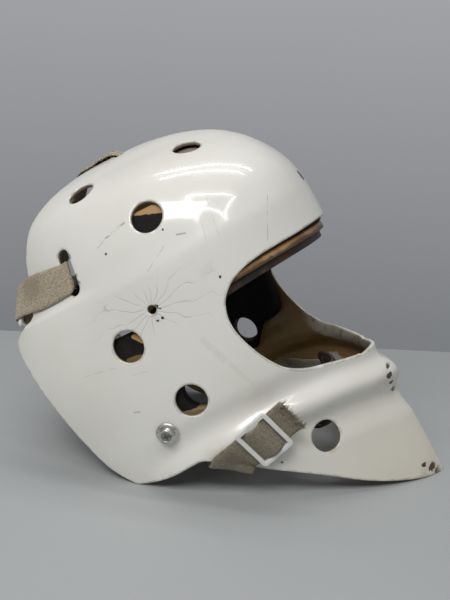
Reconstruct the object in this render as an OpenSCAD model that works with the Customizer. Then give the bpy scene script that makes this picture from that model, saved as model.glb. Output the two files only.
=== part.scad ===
// Ice hockey goalie mask: moulded shell, pads, leather chin cup, harness straps and their
// hardware. The wire cage is off. The mask is drawn in the wearer's axes, t forward, y to the
// wearer's left and n up, and is then laid back by rest_pitch on its jaw corners and chin tip.
// All sizes are in millimetres.

/* [Shell] */
// Thickness of the laminate
wall = 3.2; // [2.6:0.1:4]
// Half-width of the shell at the cheeks
cheek_half = 103; // [99:1:108]
// Forward reach of the brow
brow_reach = 168; // [164:1:172]
// Level of the crown above the wearer's chin line
crown_level = 233; // [231:1:236]
// Level of the crease over the ears
crease_level = 146.5; // [144:0.5:148]
// How far the jaw panel stands out below the crease at the rear
ledge = 7; // [4:0.5:9]
// Height of the bumper ridge over the chin
ridge = 5; // [3:0.5:7]
// Depth of the valleys above and below the ridge
valley = 2.5; // [1:0.5:4]
// Columns of facets round the shell
shell_columns = 52; // [40:4:64]

/* [Holes] */
// Diameter of a vent
vent_d = 22; // [18:1:24]
// Diameter of the vent by the rear edge
rear_vent_d = 20; // [16:1:22]
// Diameter of the empty cage screw hole
cage_hole_d = 6; // [4:0.5:8]
// Width of the rear strap slot
slot_w = 10; // [8:0.5:12]

/* [Pads] */
// Thickness of the forehead foam
forehead_t = 6; // [4:0.5:8]
// Thickness of the leather sweatband
band_t = 2.6; // [2:0.2:4]
// Height of the sweatband
band_h = 17.5; // [15:0.5:20]
// Thickness of the crown pad
crown_t = 8; // [5:1:12]
// Thickness of the temple pads
temple_t = 11; // [8:1:14]
// Thickness of the jaw pads
jaw_t = 13; // [9:1:16]
// Gap that a soft piece keeps from its neighbour
fit = 0.3; // [0.2:0.1:0.5]

/* [Straps] */
// Width of the harness webbing
web_w = 25; // [22:1:28]
// Thickness of the webbing
web_t = 1.8; // [1.2:0.2:2.4]
// Length of a strap buckle along the webbing
buckle_l = 26; // [25:1:30]
// Width of a buckle bar
bar_w = 3; // [2.5:0.5:4]
// Thickness of a buckle bar
bar_t = 2.6; // [2:0.2:3.4]

/* [Back plate] */
// Radius of the moulded back plate
plate_r = 80; // [76:1:84]
// Width of the back plate
plate_w = 88; // [80:1:92]
// Height of the back plate
plate_h = 80; // [70:1:84]
// Thickness of the back plate
plate_t = 2.6; // [2:0.2:3.4]
// Thickness of the pad in front of it
back_pad_t = 9; // [6:1:12]

/* [Hardware] */
// Diameter of a snap stud's flange
flange_d = 16; // [14:0.5:18]
// Diameter of a snap stud's button
button_d = 10; // [9:0.5:11]
// Height of a snap stud's button
button_h = 4.5; // [4:0.5:6]
// Diameter of the shank of a stud screw
screw_d = 4; // [3:0.5:5]
// Diameter of the screw head in the button
head_d = 7; // [6:0.5:7.5]
// Diameter of the flange of a T-nut
tnut_d = 18; // [15:1:20]
// Diameter of a T-nut's barrel
barrel_d = 8; // [7:0.5:9]
// Diameter of a T-nut's threaded bore
thread_d = 5; // [4:0.5:6]

/* [Rest] */
// Angle that the mask leans back on a table
rest_pitch = 30; // [29.9:0.05:30.1]

/* [Hidden] */

// Where the leaned mask stands: middle of its length, and the table under it
mid_x = 31.4;
table_z = 0.03;

// Profiles of the skin: each row is a level n and a value at that level
chin_reach = brow_reach - 1;
FRONT = [[-110, chin_reach], [-95, chin_reach], [-71, chin_reach - 0.5], [-44, chin_reach - 2],
    [-20, chin_reach - 3], [16, chin_reach - 4.5], [60, brow_reach - 4], [122, brow_reach],
    [136, brow_reach - 0.5], [151, brow_reach - 2], [168, brow_reach - 6.5],
    [190, brow_reach - 19], [204, brow_reach - 32.5], [crown_level - 17, brow_reach - 51],
    [crown_level - 12, brow_reach - 63], [crown_level - 6.5, brow_reach - 82],
    [crown_level - 2.5, 62], [crown_level - 0.7, 40], [crown_level, 22]];
REAR = [[-110, -60], [0, -85], [60, -105], [100, -108], [145, -88], [165, -80], [183, -73],
    [203, -57], [212, -48], [crown_level - 15, -37], [crown_level - 10, -24],
    [crown_level - 5, -5], [crown_level, 22]];
WIDEST = [[-110, 60], [-60, 40], [-20, 28], [20, 30], [60, 38], [145, 50], [200, 38],
    [212, 22], [crown_level - 13, 9], [crown_level - 7, 8], [crown_level, 22]];
HALF = [[-110, cheek_half - 41], [-70, cheek_half - 23], [-40, cheek_half - 13],
    [-10, cheek_half - 6], [20, cheek_half - 2], [50, cheek_half], [100, cheek_half - 1],
    [140, cheek_half - 4], [147, cheek_half - 5.5], [168, cheek_half - 11],
    [182, cheek_half - 17], [192, cheek_half - 22.5], [200, cheek_half - 28.5],
    [207, cheek_half - 36.5], [212, cheek_half - 44], [crown_level - 16, cheek_half - 53],
    [crown_level - 12, 42], [crown_level - 8, 32], [crown_level - 3, 15], [crown_level, 0]];
POINTED = [[-110, 1.5], [-20, 1.45], [20, 1.25], [60, 1.05], [120, 1], [190, 1],
    [207, 1.35], [216, 1.5], [crown_level, 1.3]];
SQUARED = [[-110, 0.6], [100, 0.55], [140, 0.7], [160, 0.9], [190, 0.8], [205, 0.75],
    [218, 0.75], [crown_level, 0.9]];
RIDGE = [[-20, 0], [20, 8], [50, 12.5], [86, 13.5], [113, 11], [135, 5.5], [150, -1], [brow_reach, -11]];

// Edges of the shell in side view, as points [t, n]
FACE = [[brow_reach + 30, 121], [brow_reach, 120], [154, 119], [141, 118.5], [128, 117.5],
    [116, 115], [106, 110], [98.5, 102], [95, 92], [95, 82], [97.5, 71], [102, 59],
    [108.5, 46.5], [115.5, 38], [123, 32.5], [133, 28], [143, 23], [152, 18.5], [158, 16.5],
    [brow_reach + 30, 15]];
JAW = [[-41, 147], [-56, 141], [-60.5, 136], [-60, 128], [-55.5, 112], [-49.5, 86], [-43, 56],
    [-34.5, 31], [-22, 13.5], [-14, 9.5], [0, 8], [13, 8.5], [30, 11], [38, 11], [46, 5],
    [58, -6], [80, -23], [102, -42], [115, -55], [128, -67], [140, -77], [154, -88], [163, -94],
    [chin_reach, -96]];
// Edge of the rear opening: half-width and height up the plane that faces back and up
ARCH = [[0, 188], [12.6, 187.6], [24.4, 178.8], [36.5, 167.5], [44.9, 156], [52.4, 144],
    [60.6, 130.2], [66.3, 114.2], [70, 101], [75, 85.7]];
arch_pitch = 41.3;

// Vents on each side, as [t, n, diameter]
VENTS = [[28, 211.5, rear_vent_d], [74, 173.5, vent_d], [26, 102, vent_d], [49, 52, vent_d],
    [112.5, -16, vent_d], [106.5, 207, vent_d - 2]];
cage_hole = [53, 117.5];
stud_place = [23, 38];
slot_top = [4.5, 176];
slot_foot = [5, 153];
top_slot_t = 50;
top_slot_w = 8;
tnut_level = 153.5;

// Width of a buckle across the webbing
buckle_w = web_w + 1 + 2 * bar_w;
// Chin buckle: its centre, the way of the webbing through it and its height over the skin
buckle_place = [78.6, 9.5];
buckle_ahead = [118.6, 21.9];
buckle_lift = web_t + 2 * fit + 0.1;

function segment(k, x, i = 0) = i >= len(k) - 2 || x < k[i + 1][0] ? i : segment(k, x, i + 1);
function slope(k, i) = (k[i + 1][1] - k[i][1]) / (k[i + 1][0] - k[i][0]);
function tangent(k, i) =
    i == 0 ? slope(k, 0) :
    i == len(k) - 1 ? slope(k, i - 1) :
    let (a = k[i][0] - k[i - 1][0], b = k[i + 1][0] - k[i][0])
    (slope(k, i - 1) * b + slope(k, i) * a) / (a + b);
// Smooth curve through the rows of k, flat beyond its ends
function spline(k, x) =
    x <= k[0][0] ? k[0][1] :
    x >= k[len(k) - 1][0] ? k[len(k) - 1][1] :
    let (i = segment(k, x), h = k[i + 1][0] - k[i][0], u = (x - k[i][0]) / h)
    (2 * u^3 - 3 * u^2 + 1) * k[i][1] + (u^3 - 2 * u^2 + u) * h * tangent(k, i)
    + (3 * u^2 - 2 * u^3) * k[i + 1][1] + (u^3 - u^2) * h * tangent(k, i + 1);
// Smooth curve through points [x, y] of an outline, with m steps between two points
function through(p, m = 4) = concat([for (i = [0 : len(p) - 2], j = [0 : m - 1])
    let (a = p[max(i - 1, 0)], b = p[i], c = p[i + 1], d = p[min(i + 2, len(p) - 1)], u = j / m)
    0.5 * (2 * b + (c - a) * u + (2 * a - 5 * b + 4 * c - d) * u^2
        + (3 * b - a - 3 * c + d) * u^3)], [p[len(p) - 1]]);
function ease(a, b, x) = let (u = min(1, max(0, (x - a) / (b - a)))) u * u * (3 - 2 * u);
function swell(w, x) = abs(x) < w ? (1 + cos(180 * x / w)) / 2 : 0;
function unit(v) = v / norm(v);
function mix(a, b, u) = a + (b - a) * u;

// Ridge over the chin with its two valleys, and the ledge behind the ears
function relief(t, n) =
    let (r = n - spline(RIDGE, t))
    ease(-20, 40, t) * (ridge * swell(15, r) - valley * swell(15, r - 17) - valley * swell(18, r + 19))
    + ledge * ease(30, -45, t) * ease(crease_level + 2.5, crease_level - 2.5, n) * ease(40, 110, n);
// Point of the outer skin: a is the angle from the front round to the left, n the level
function skin(a, n) =
    let (c = cos(a), s = abs(sin(a)), mid = spline(WIDEST, n), half = spline(HALF, n),
        reach = c >= 0 ? spline(FRONT, n) - mid : mid - spline(REAR, n),
        t = mid + reach * c,
        y = half * pow(s, c >= 0 ? spline(POINTED, n) : spline(SQUARED, n)),
        m = unit([c / max(reach, 1), s / max(half, 1)]), d = relief(t, n))
    [t + d * m[0], sign(sin(a)) * (y + d * m[1]), n];
function skin_normal(a, n) =
    n > crown_level - 1 ? [0, 0, 1] :
    unit(cross(skin(a + 0.5, n) - skin(a - 0.5, n), skin(a, n + 0.4) - skin(a, n - 0.4)));
// Point at a distance d outside the skin
function off_skin(a, n, d) = skin(a, n) + d * skin_normal(a, n);
// Angle at which the ring of level n passes t
function angle_at(t, n) =
    let (mid = spline(WIDEST, n), reach = t > mid ? spline(FRONT, n) - mid : mid - spline(REAR, n))
    acos(max(-1, min(1, (t - mid) / reach)));
// The same on the wearer's left, by the side-view point p
function at(p, d) = off_skin(angle_at(p[0], p[1]), p[1], d);

// Frame that lies on the skin's high spots round p: base, x ahead, y across, z outwards. long
// and wide are its half-sizes.
function skin_frame(p, ahead, long, wide) =
    let (u = unit(ahead - p), v = [u[1], -u[0]], way = at(p + long * u, 0) - at(p - long * u, 0),
        side = at(p + wide * v, 0) - at(p - wide * v, 0), z = unit(cross(way, side)), x = unit(way),
        rise = max([for (i = [-1 : 0.5 : 1], j = [-1 : 0.5 : 1])
            (at(p + i * long * u + j * wide * v, 0) - at(p, 0)) * z]))
    [at(p, 0) + rise * z, x, cross(z, x), z];

// Stud and nuts sit clear of the skin on their own frames
stud_frame = skin_frame(stud_place, stud_place + [40, 0], flange_d / 2, flange_d / 2);
stud_lift = 2 * fit;
nut_drop = min([for (i = [-1, 0, 1], j = [-1, 0, 1])
    (at(stud_place + flange_d / 2 * [i, j], -wall) - stud_frame[0]) * stud_frame[3]]) - fit;
tnut_drop = min([for (i = [-6, 0, 6], j = [-1, 0, 1])
    (off_skin(i, tnut_level + j * tnut_d / 2, -wall) - off_skin(0, tnut_level, 0))
    * skin_normal(0, tnut_level)]) - fit;
socket = 2.2;

// Pieces are drawn on the wearer's left, and side is -1 for their twins on the right
module sided(side) {
    mirror([0, side < 0 ? 1 : 0, 0]) children();
}

// Places children in a frame of base, x, y and z
module in_frame(f) {
    multmatrix([for (i = [0 : 2]) [f[1][i], f[2][i], f[3][i], f[0][i]]]) children();
}

// Frame on the skin with z outwards and x towards the side-view point ahead
module on_skin(p, ahead = [300, 0]) {
    base = at(p, 0);
    z = skin_normal(angle_at(p[0], p[1]), p[1]);
    way = at(p + 2 * unit(ahead - p), 0) - base;
    x = unit(way - (way * z) * z);
    y = cross(z, x);
    multmatrix([[x[0], y[0], z[0], base[0]], [x[1], y[1], z[1], base[1]],
        [x[2], y[2], z[2], base[2]]]) children();
}

// Lays the upright mask back on the table
module rest() {
    translate([-mid_x, 0, -table_z]) rotate([0, -rest_pitch, 0]) children();
}

// Closed skin at a distance d outside the outer one
module skin_solid(d) {
    levels = concat([for (n = [-110 : 10 : -30]) n], [for (n = [-22 : 7 : 34]) n],
        [for (n = [46 : 13 : 124]) n],
        [crease_level - 10, crease_level - 3, crease_level, crease_level + 3],
        [for (n = [159 : 10 : 199]) n], [for (n = [206 : 6 : 218]) n],
        [for (k = [10, 6, 2.5]) crown_level - k]);
    rings = len(levels);
    cols = shell_columns;
    points = concat([for (n = levels, j = [0 : cols - 1]) off_skin(360 * j / cols, n, d)],
        [skin(0, crown_level) + [0, 0, d]]);
    sides = [for (i = [0 : rings - 2], j = [0 : cols - 1])
        let (k = (j + 1) % cols, a = i * cols, b = a + cols)
        each [[a + j, b + k, a + k], [a + j, b + j, b + k]]];
    top = [for (j = [0 : cols - 1]) let (a = (rings - 1) * cols) [a + j, rings * cols, a + (j + 1) % cols]];
    foot = [[for (j = [0 : cols - 1]) j]];
    polyhedron(points, concat(sides, top, foot));
}

// Prism through the mask along y with its outline in side view
module side_prism(outline) {
    rotate([90, 0, 0]) linear_extrude(600, center = true) polygon(outline);
}

// Rear opening, cut from behind and above
module rear_prism() {
    edge = through(ARCH);
    far = len(edge) - 1;
    outline = concat([for (p = edge) p], [[edge[far][0], -150], [-edge[far][0], -150]],
        [for (i = [far : -1 : 1]) [-edge[i][0], edge[i][1]]]);
    c = cos(arch_pitch);
    s = sin(arch_pitch);
    multmatrix([[0, s, c, 0], [1, 0, 0, 0], [0, c, -s, 0]])
        translate([0, 0, -300]) linear_extrude(225) polygon(outline);
}

// Slot with round ends between two side-view points
module slot(p, q, w) {
    hull() for (end = [p, q]) on_skin(end) cylinder(d = w, h = 24, center = true, $fn = 24);
}

// Drilled vent whose outer edge is eased by hand
module vent(p, d) {
    on_skin(p) hull() {
        translate([0, 0, -10]) cylinder(d = d, h = 9, $fn = 28);
        translate([0, 0, 2]) cylinder(d = d + 0.6, h = 5, $fn = 28);
    }
}

module shell() {
    color("ivory") rest() difference() {
        skin_solid(0);
        skin_solid(-wall);
        side_prism(through(FACE));
        side_prism(concat([[JAW[0][0] - 1, crease_level + 3]], through(JAW), [[brow_reach + 80, -96],
            [brow_reach + 80, -200], [-300, -200], [-300, crease_level + 3]]));
        rear_prism();
        for (side = [-1, 1]) sided(side) {
            for (v = VENTS) vent([v[0], v[1]], v[2]);
            slot(slot_top, slot_foot, slot_w);
            on_skin(cage_hole) cylinder(d = cage_hole_d, h = 20, center = true, $fn = 16);
            in_frame(stud_frame) cylinder(d = screw_d + 2 * fit, h = 20, center = true, $fn = 16);
        }
        on_skin([brow_reach, tnut_level])
            cylinder(d = barrel_d + 2 * fit, h = 20, center = true, $fn = 20);
        hull() for (y = [-web_w / 2 - 1, web_w / 2 + 1])
            translate([top_slot_t, y, crown_level - 15]) cylinder(d = top_slot_w, h = 30, $fn = 16);
    }
}

// Crowned pad on the inside of the shell between two angles and two levels. lay is its distance
// from the inner skin, dip bends both levels down at its ends and taper narrows it there. hook is
// how far its foot steps out to the skin, and up to what part of its height. rise lifts the foot
// of its front end.
module pad(a0, a1, n0, n1, lay, thick, dip = 0, taper = 0.25, cols = 12, rows = 6, hook = [0, 1],
        rise = 0) {
    function part_way(u) = 1 - abs(2 * u - 1)^4;
    function level(u, v) = mix(n0 + rise * ease(0.28, 0.18, u), n1,
        0.5 + (v - 0.5) * (1 - taper * (1 - sqrt(part_way(u))))) - dip * abs(2 * u - 1)^4;
    function depth(u, v) = thick * (0.35 + 0.65 * (part_way(u) * part_way(v))^0.4);
    function start(v) = wall + lay - hook[0] * ease(hook[1], 0.25, v);
    size = (cols + 1) * (rows + 1);
    grid = [for (i = [0 : cols], j = [0 : rows]) [i / cols, j / rows]];
    outer = [for (g = grid) off_skin(mix(a0, a1, g[0]), level(g[0], g[1]), -start(g[1]))];
    inner = [for (g = grid) off_skin(mix(a0, a1, g[0]), level(g[0], g[1]),
        -start(g[1]) - depth(g[0], g[1]))];
    function id(i, j) = i * (rows + 1) + j;
    faces = [for (i = [0 : cols - 1], j = [0 : rows - 1])
        let (a = id(i, j), b = id(i + 1, j), c = id(i + 1, j + 1), d = id(i, j + 1))
        each [[a, c, b], [a, d, c], [size + a, size + b, size + c], [size + a, size + c, size + d]]];
    loop = concat([for (i = [0 : cols - 1]) id(i, 0)], [for (j = [0 : rows - 1]) id(cols, j)],
        [for (i = [cols : -1 : 1]) id(i, rows)], [for (j = [rows : -1 : 1]) id(0, j)]);
    rim = [for (k = [0 : len(loop) - 1]) let (a = loop[k], b = loop[(k + 1) % len(loop)])
        each [[a, b, size + b], [a, size + b, size + a]]];
    polyhedron(concat(outer, inner), concat(faces, rim));
}

// Webbing t thick through rows of points across it, lying on the left of its way
module ribbon(rows, t) {
    last = len(rows) - 1;
    across = len(rows[0]) - 1;
    function spot(i, j) = rows[min(max(i, 0), last)][min(max(j, 0), across)];
    function up(i, j) = unit(cross(spot(i + 1, j) - spot(i - 1, j), spot(i, j + 1) - spot(i, j - 1)));
    low = [for (i = [0 : last], j = [0 : across]) rows[i][j]];
    high = [for (i = [0 : last], j = [0 : across]) rows[i][j] + t * up(i, j)];
    size = len(low);
    function id(i, j) = i * (across + 1) + j;
    faces = [for (i = [0 : last - 1], j = [0 : across - 1])
        let (a = id(i, j), b = id(i + 1, j), c = id(i + 1, j + 1), d = id(i, j + 1))
        each [[a, b, c], [a, c, d], [size + a, size + c, size + b], [size + a, size + d, size + c]]];
    loop = concat([for (i = [0 : last - 1]) id(i, 0)], [for (j = [0 : across - 1]) id(last, j)],
        [for (i = [last : -1 : 1]) id(i, across)], [for (j = [across : -1 : 1]) id(0, j)]);
    rim = [for (k = [0 : len(loop) - 1]) let (a = loop[k], b = loop[(k + 1) % len(loop)])
        each [[a, size + b, b], [a, size + a, size + b]]];
    polyhedron(concat(low, high), concat(faces, rim));
}

// Row of a ribbon that follows the skin at a distance d between two side-view points
function skin_row(p, q, d, m = 4) = [for (j = [0 : m]) at(mix(p, q, j / m), d)];
// Straight row between two points
function flat_row(p, q, m = 4) = [for (j = [0 : m]) mix(p, q, j / m)];

module forehead_pad() {
    color("dimgray") rest() pad(-58, 58, 118, 142, fit, forehead_t, 4, 0.3, 16, 4);
}

module sweatband() {
    color("peru") rest() pad(-70, 70, 129 - band_h, 129, forehead_t + 2 * fit, band_t, 5, 0.2, 20, 4,
        [forehead_t - 0.4, 0.5]);
}

module sweatband_liner() {
    color("saddlebrown") rest() pad(-66, 66, 123.5 - band_h, 123.5, forehead_t + band_t + 3 * fit,
        band_t, 5, 0.2, 20, 4, [forehead_t - 1.5, 0.75]);
}

module crown_pad() {
    color("tan") rest() crown_sheet(crown_t);
}

// Pad under the crown, laid over the wearer's head from front to back
module crown_sheet(thick) {
    ts = [for (t = [62 : 11 : 128]) t];
    cols = len(ts) - 1;
    rows = 12;
    half = 62;
    size = (cols + 1) * (rows + 1);
    function spot(i, j, d) =
        let (t = ts[i], y = mix(-half, half, j / rows) * (i == 0 || i == cols ? 0.8 : 1))
        [t, y, roof_level(t, abs(y)) - wall * 1.1 - d];
    lay = (web_t + 2 * fit + 0.2) * 1.1;
    top = [for (i = [0 : cols], j = [0 : rows]) spot(i, j, lay)];
    low = [for (i = [0 : cols], j = [0 : rows])
        let (edge = i == 0 || i == cols || j == 0 || j == rows)
        spot(i, j, lay + (edge ? 0.45 : 1) * thick)];
    function id(i, j) = i * (rows + 1) + j;
    faces = [for (i = [0 : cols - 1], j = [0 : rows - 1])
        let (a = id(i, j), b = id(i + 1, j), c = id(i + 1, j + 1), d = id(i, j + 1))
        each [[a, d, c], [a, c, b], [size + a, size + c, size + d], [size + a, size + b, size + c]]];
    loop = concat([for (i = [0 : cols - 1]) id(i, 0)], [for (j = [0 : rows - 1]) id(cols, j)],
        [for (i = [cols : -1 : 1]) id(i, rows)], [for (j = [rows : -1 : 1]) id(0, j)]);
    rim = [for (k = [0 : len(loop) - 1]) let (a = loop[k], b = loop[(k + 1) % len(loop)])
        each [[a, b, size + b], [a, size + b, size + a]]];
    polyhedron(concat(top, low), concat(faces, rim));
}

// Level of the skin over the plan point t, y
function roof_level(t, y, lo = 150, hi = crown_level - 0.05, k = 0) =
    k == 16 ? (lo + hi) / 2 :
    let (n = (lo + hi) / 2, mid = spline(WIDEST, n), ahead = t > mid,
        reach = ahead ? spline(FRONT, n) - mid : mid - spline(REAR, n), c = (t - mid) / reach)
    abs(c) < 1 && spline(HALF, n) * pow(sqrt(1 - c * c), ahead ? spline(POINTED, n) : spline(SQUARED, n)) > y ?
    roof_level(t, y, n, hi, k + 1) : roof_level(t, y, lo, n, k + 1);

module temple_pad(side) {
    color("dimgray") rest() sided(side) difference() {
        pad(62, 100, 130, 181, 2 * fit, temple_t, 0, 0.3, 10, 6);
        if (side > 0) on_skin([VENTS[1][0], VENTS[1][1]])
            cylinder(d = vent_d + 2, h = 60, center = true, $fn = 24);
    }
}

module jaw_pad(side) {
    color("dimgray") rest() sided(side) difference() {
        pad(65, 124, 31, 110, 4.5 * fit, jaw_t, 0, 0.35, 14, 9, rise = 18);
        // The upper vent is covered, and the right pad's hole has slipped off the lower one
        slip = side > 0 ? [0, 0] : [7, 2];
        on_skin([VENTS[3][0], VENTS[3][1]] + slip)
            cylinder(d = vent_d + 2, h = 60, center = true, $fn = 24);
        in_frame(stud_frame) translate([0, 0, nut_drop - 6]) cylinder(d = flange_d + 2, h = 9, $fn = 32);
    }
}

// Leather cup for the wearer's chin, hung between the chin straps
cup_centre = [88, 0, 8];
cup_pitch = 115;
cup_r = 40;
cup_t = 3;
cup_w = 64;
cup_h = 50;
cup_corner = 12;
cup_out = sqrt(cup_r^2 - (cup_w / 2)^2);
module chin_cup() {
    color("saddlebrown") rest() translate(cup_centre) rotate([0, cup_pitch, 0]) intersection() {
        difference() {
            sphere(r = cup_r, $fn = 96);
            sphere(r = cup_r - cup_t, $fn = 96);
        }
        linear_extrude(cup_r + 20) offset(r = cup_corner, $fn = 48)
            square([cup_h - 2 * cup_corner, cup_w - 2 * cup_corner], center = true);
    }
}

// Row of webbing in such a frame, x along it and z above it
function frame_row(f, x, z, w = web_w) =
    flat_row(f[0] + x * f[1] + z * f[3] - w / 2 * f[2], f[0] + x * f[1] + z * f[3] + w / 2 * f[2]);
// Webbing through a buckle: under the first bar, over the middle one and under the last
function woven(f, lift, fore = 3, aft = 4) =
    let (edge = buckle_l / 2, over = bar_t + 2 * fit + 0.1, rise = bar_w / 2 + 0.3,
        foot = edge - bar_w - 0.6, low = lift - web_t - fit)
    [frame_row(f, -edge - fore, low), frame_row(f, -edge + bar_w / 2, low), frame_row(f, -foot, low),
        frame_row(f, -rise, lift + over), frame_row(f, 0, lift + over + 0.2),
        frame_row(f, rise, lift + over), frame_row(f, foot, low),
        frame_row(f, edge - bar_w / 2, low), frame_row(f, edge + aft, low)];

// Chin strap: from the cup inside the shell, round the bottom edge and up to its buckle
rim_back = [41, 8.6];
rim_front = [63.5, -9.8];

chin_frame = skin_frame(buckle_place, buckle_ahead, buckle_l / 2, buckle_w / 2);
module chin_strap(side) {
    g = fit + 0.1;
    inside = -(wall + g + 0.9);
    clear = [-1.9, -2.4];
    hold = cup_centre + [cup_out * sin(cup_pitch), cup_w / 2 + 1.3, cup_out * cos(cup_pitch)];
    down = web_w / 2 * [cos(cup_pitch), 0, -sin(cup_pitch)];
    rows = concat([
        flat_row(hold - down, hold + down),
        flat_row(hold + [-9, 14, 1] - down, hold + [-14, 14, 1] + down),
        flat_row(hold + [-22, 30, 1] - down, hold + [-28, 31, 0] + down),
        skin_row([68, 12], [80, -12], inside - 0.6),
        skin_row(rim_back + [4, 3], rim_front + [4, 3], inside),
        skin_row(rim_back + clear, rim_front + clear, inside),
        skin_row(rim_back + 1.7 * clear, rim_front + 1.7 * clear, -wall / 2),
        skin_row(rim_back + clear, rim_front + clear, g),
        skin_row(rim_back + [3, 3], rim_front + [2, 2], g)],
        woven(chin_frame, buckle_lift, aft = 12));
    color("darkkhaki") rest() sided(side) ribbon(rows, web_t);
}

// Flat three-bar buckle, the webbing runs along x
module buckle() {
    window_w = buckle_w - 2 * bar_w;
    window_l = (buckle_l - 3 * bar_w) / 2;
    linear_extrude(bar_t) difference() {
        offset(r = 3, $fn = 32) square([buckle_l - 6, buckle_w - 6], center = true);
        for (s = [-1, 1]) translate([s * (window_l + bar_w) / 2, 0])
            square([window_l, window_w], center = true);
    }
}

module chin_buckle(side) {
    color("whitesmoke") rest() sided(side) in_frame(chin_frame) translate([0, 0, buckle_lift]) buckle();
}

// Side strap: out through the rear slot, round the rear edge, through its buckle to the plate.
// Its rows are on its outer face.
function framed(base, way, down) =
    let (x = unit(way), z = unit(cross(x, down))) [base, x, cross(z, x), z];
side_frame = framed([-52.2, cheek_half - 46.6, 152.4], [0.02, -0.79, -0.6], [-0.25, 0.58, -0.775]);
module side_strap(side) {
    out = fit + 0.1 + web_t;
    inside = -(wall + out);
    end = plate_point(plate_slot_x, plate_w / 2 - 7, 0.4 + web_t);
    rows = concat([
        skin_row([-34, 175], [-35, 152], inside),
        skin_row([-22, 174], [-22, 152], inside),
        skin_row([-8, 174], [-8, 153], inside),
        skin_row([2.5, 173.5], [2, 154], inside),
        skin_row([6.6, 173], [6, 153.5], -wall / 2),
        skin_row([4, 171], [4, 150.3], out),
        skin_row([-8, 172.5], [-8, 149.6], out),
        skin_row([-20, 174], [-20, 149], out),
        skin_row([-30, 175], [-30, 149.6], out),
        skin_row([-38, 175], [-41, 150.8], out + 0.4),
        flat_row([-47, cheek_half - 35.5, 173.5], [-50, cheek_half - 27.5, 152.5])],
        woven(side_frame, 0),
        [flat_row(end[0], end[1])]);
    color("darkkhaki") rest() sided(side) ribbon(rows, web_t);
}

// Moulded back plate with its pad, and slots for the three straps
plate_centre = [18, 0, 122];
plate_tilt = 4;
plate_slot_x = 8;
module plate_frame() {
    translate(plate_centre) rotate([0, plate_tilt - 90, 0]) children();
}

// Ends of a vertical row d behind the plate, at x up it and y across it
function plate_spot(x, y, d) =
    let (r = plate_r + d, z = sqrt(r^2 - x^2 - y^2), c = cos(plate_tilt), s = sin(plate_tilt))
    plate_centre + [x * s - z * c, y, x * c + z * s];
function plate_point(x, y, d) = [plate_spot(x + web_w / 2, y, d), plate_spot(x - web_w / 2, y, d)];

module plate_outline(grow = 0) {
    offset(r = 18, $fn = 48) square([plate_h - 36 + 2 * grow, plate_w - 36 + 2 * grow], center = true);
}

module back_plate() {
    color("whitesmoke") rest() plate_frame() difference() {
        intersection() {
            difference() {
                sphere(r = plate_r, $fn = 96);
                sphere(r = plate_r - plate_t, $fn = 96);
            }
            linear_extrude(plate_r + 10) plate_outline();
        }
        translate([plate_h / 2 - 9, 0, 0]) linear_extrude(plate_r + 10)
            square([5, web_w + 2], center = true);
        for (s = [-1, 1]) translate([plate_slot_x, s * (plate_w / 2 - 8), 0])
            linear_extrude(plate_r + 10) square([web_w + 2, 5], center = true);
    }
}

module back_pad() {
    color("dimgray") rest() plate_frame() intersection() {
        difference() {
            sphere(r = plate_r - plate_t - fit, $fn = 96);
            sphere(r = plate_r - plate_t - fit - back_pad_t, $fn = 96);
        }
        linear_extrude(plate_r + 10) plate_outline(-9);
    }
}

module side_buckle(side) {
    color("whitesmoke") rest() sided(side) in_frame(side_frame) buckle();
}

top_frame = framed([-24, 0, 196], [-0.72, 0, -0.69], [0, -1, 0]);
module top_buckle() {
    color("whitesmoke") rest() in_frame(top_frame) buckle();
}

// Top strap: from under the crown out through its slot, over the rear edge to the back plate.
// Its rows are on its lower face.
module top_strap() {
    h = web_w / 2;
    under = -(wall + fit + 0.1 + web_t) * 1.04;
    function roof_row(t, d) = [for (j = [-2 : 2]) [t, -j * h / 2, roof_level(t, abs(j) * h / 2) + d]];
    function level_row(t, n) = flat_row([t, h, n], [t, -h, n]);
    lip = plate_spot(plate_h / 2 + 2, 0, 2.5);
    end = plate_spot(plate_h / 2 - 7, 0, 0.6);
    rows = concat([
        roof_row(94, under - 0.3), roof_row(82, under), roof_row(68, under), roof_row(57, under),
        roof_row(top_slot_t + 2.8, under - 0.2), roof_row(top_slot_t - 3, 0.4),
        roof_row(top_slot_t - 8, 2), roof_row(34, 2), roof_row(24, 0.6), roof_row(14, 0.5),
        level_row(9.5, 226.4)], woven(top_frame, 0), [level_row(lip[0], lip[2]), level_row(end[0], end[2])]);
    color("darkkhaki") rest() ribbon(rows, web_t);
}

// Male half of a snap fastener, screwed through the shell
module snap_stud(side) {
    color("silver") rest() sided(side) in_frame(stud_frame) translate([0, 0, stud_lift]) difference() {
        rotate_extrude($fn = 64) polygon([[0, 0], [flange_d / 2, 0], [flange_d / 2, 0.8],
            [flange_d / 2 - 1, 1.2], [button_d / 2 - 0.8, 1.2], [button_d / 2 - 0.8, 2.4],
            [button_d / 2, 3.2], [button_d / 2, button_h - 0.6], [button_d / 2 - 0.6, button_h],
            [0, button_h]]);
        translate([0, 0, -1]) cylinder(d = screw_d + fit, h = 20, $fn = 32);
        translate([0, 0, button_h - socket]) cylinder(d = head_d + fit, h = 10, $fn = 48);
    }
}

module snap_screw(side) {
    color("silver") rest() sided(side) in_frame(stud_frame)
        translate([0, 0, stud_lift + button_h - socket]) difference() {
            union() {
                cylinder(d = head_d, h = 1.8, $fn = 48);
                translate([0, 0, -wall - 7.5]) cylinder(d = screw_d, h = wall + 8, $fn = 32);
            }
            for (r = [0, 90]) rotate([0, 0, r]) translate([-2, -0.5, 0.7]) cube([4, 1, 3]);
        }
}

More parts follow.
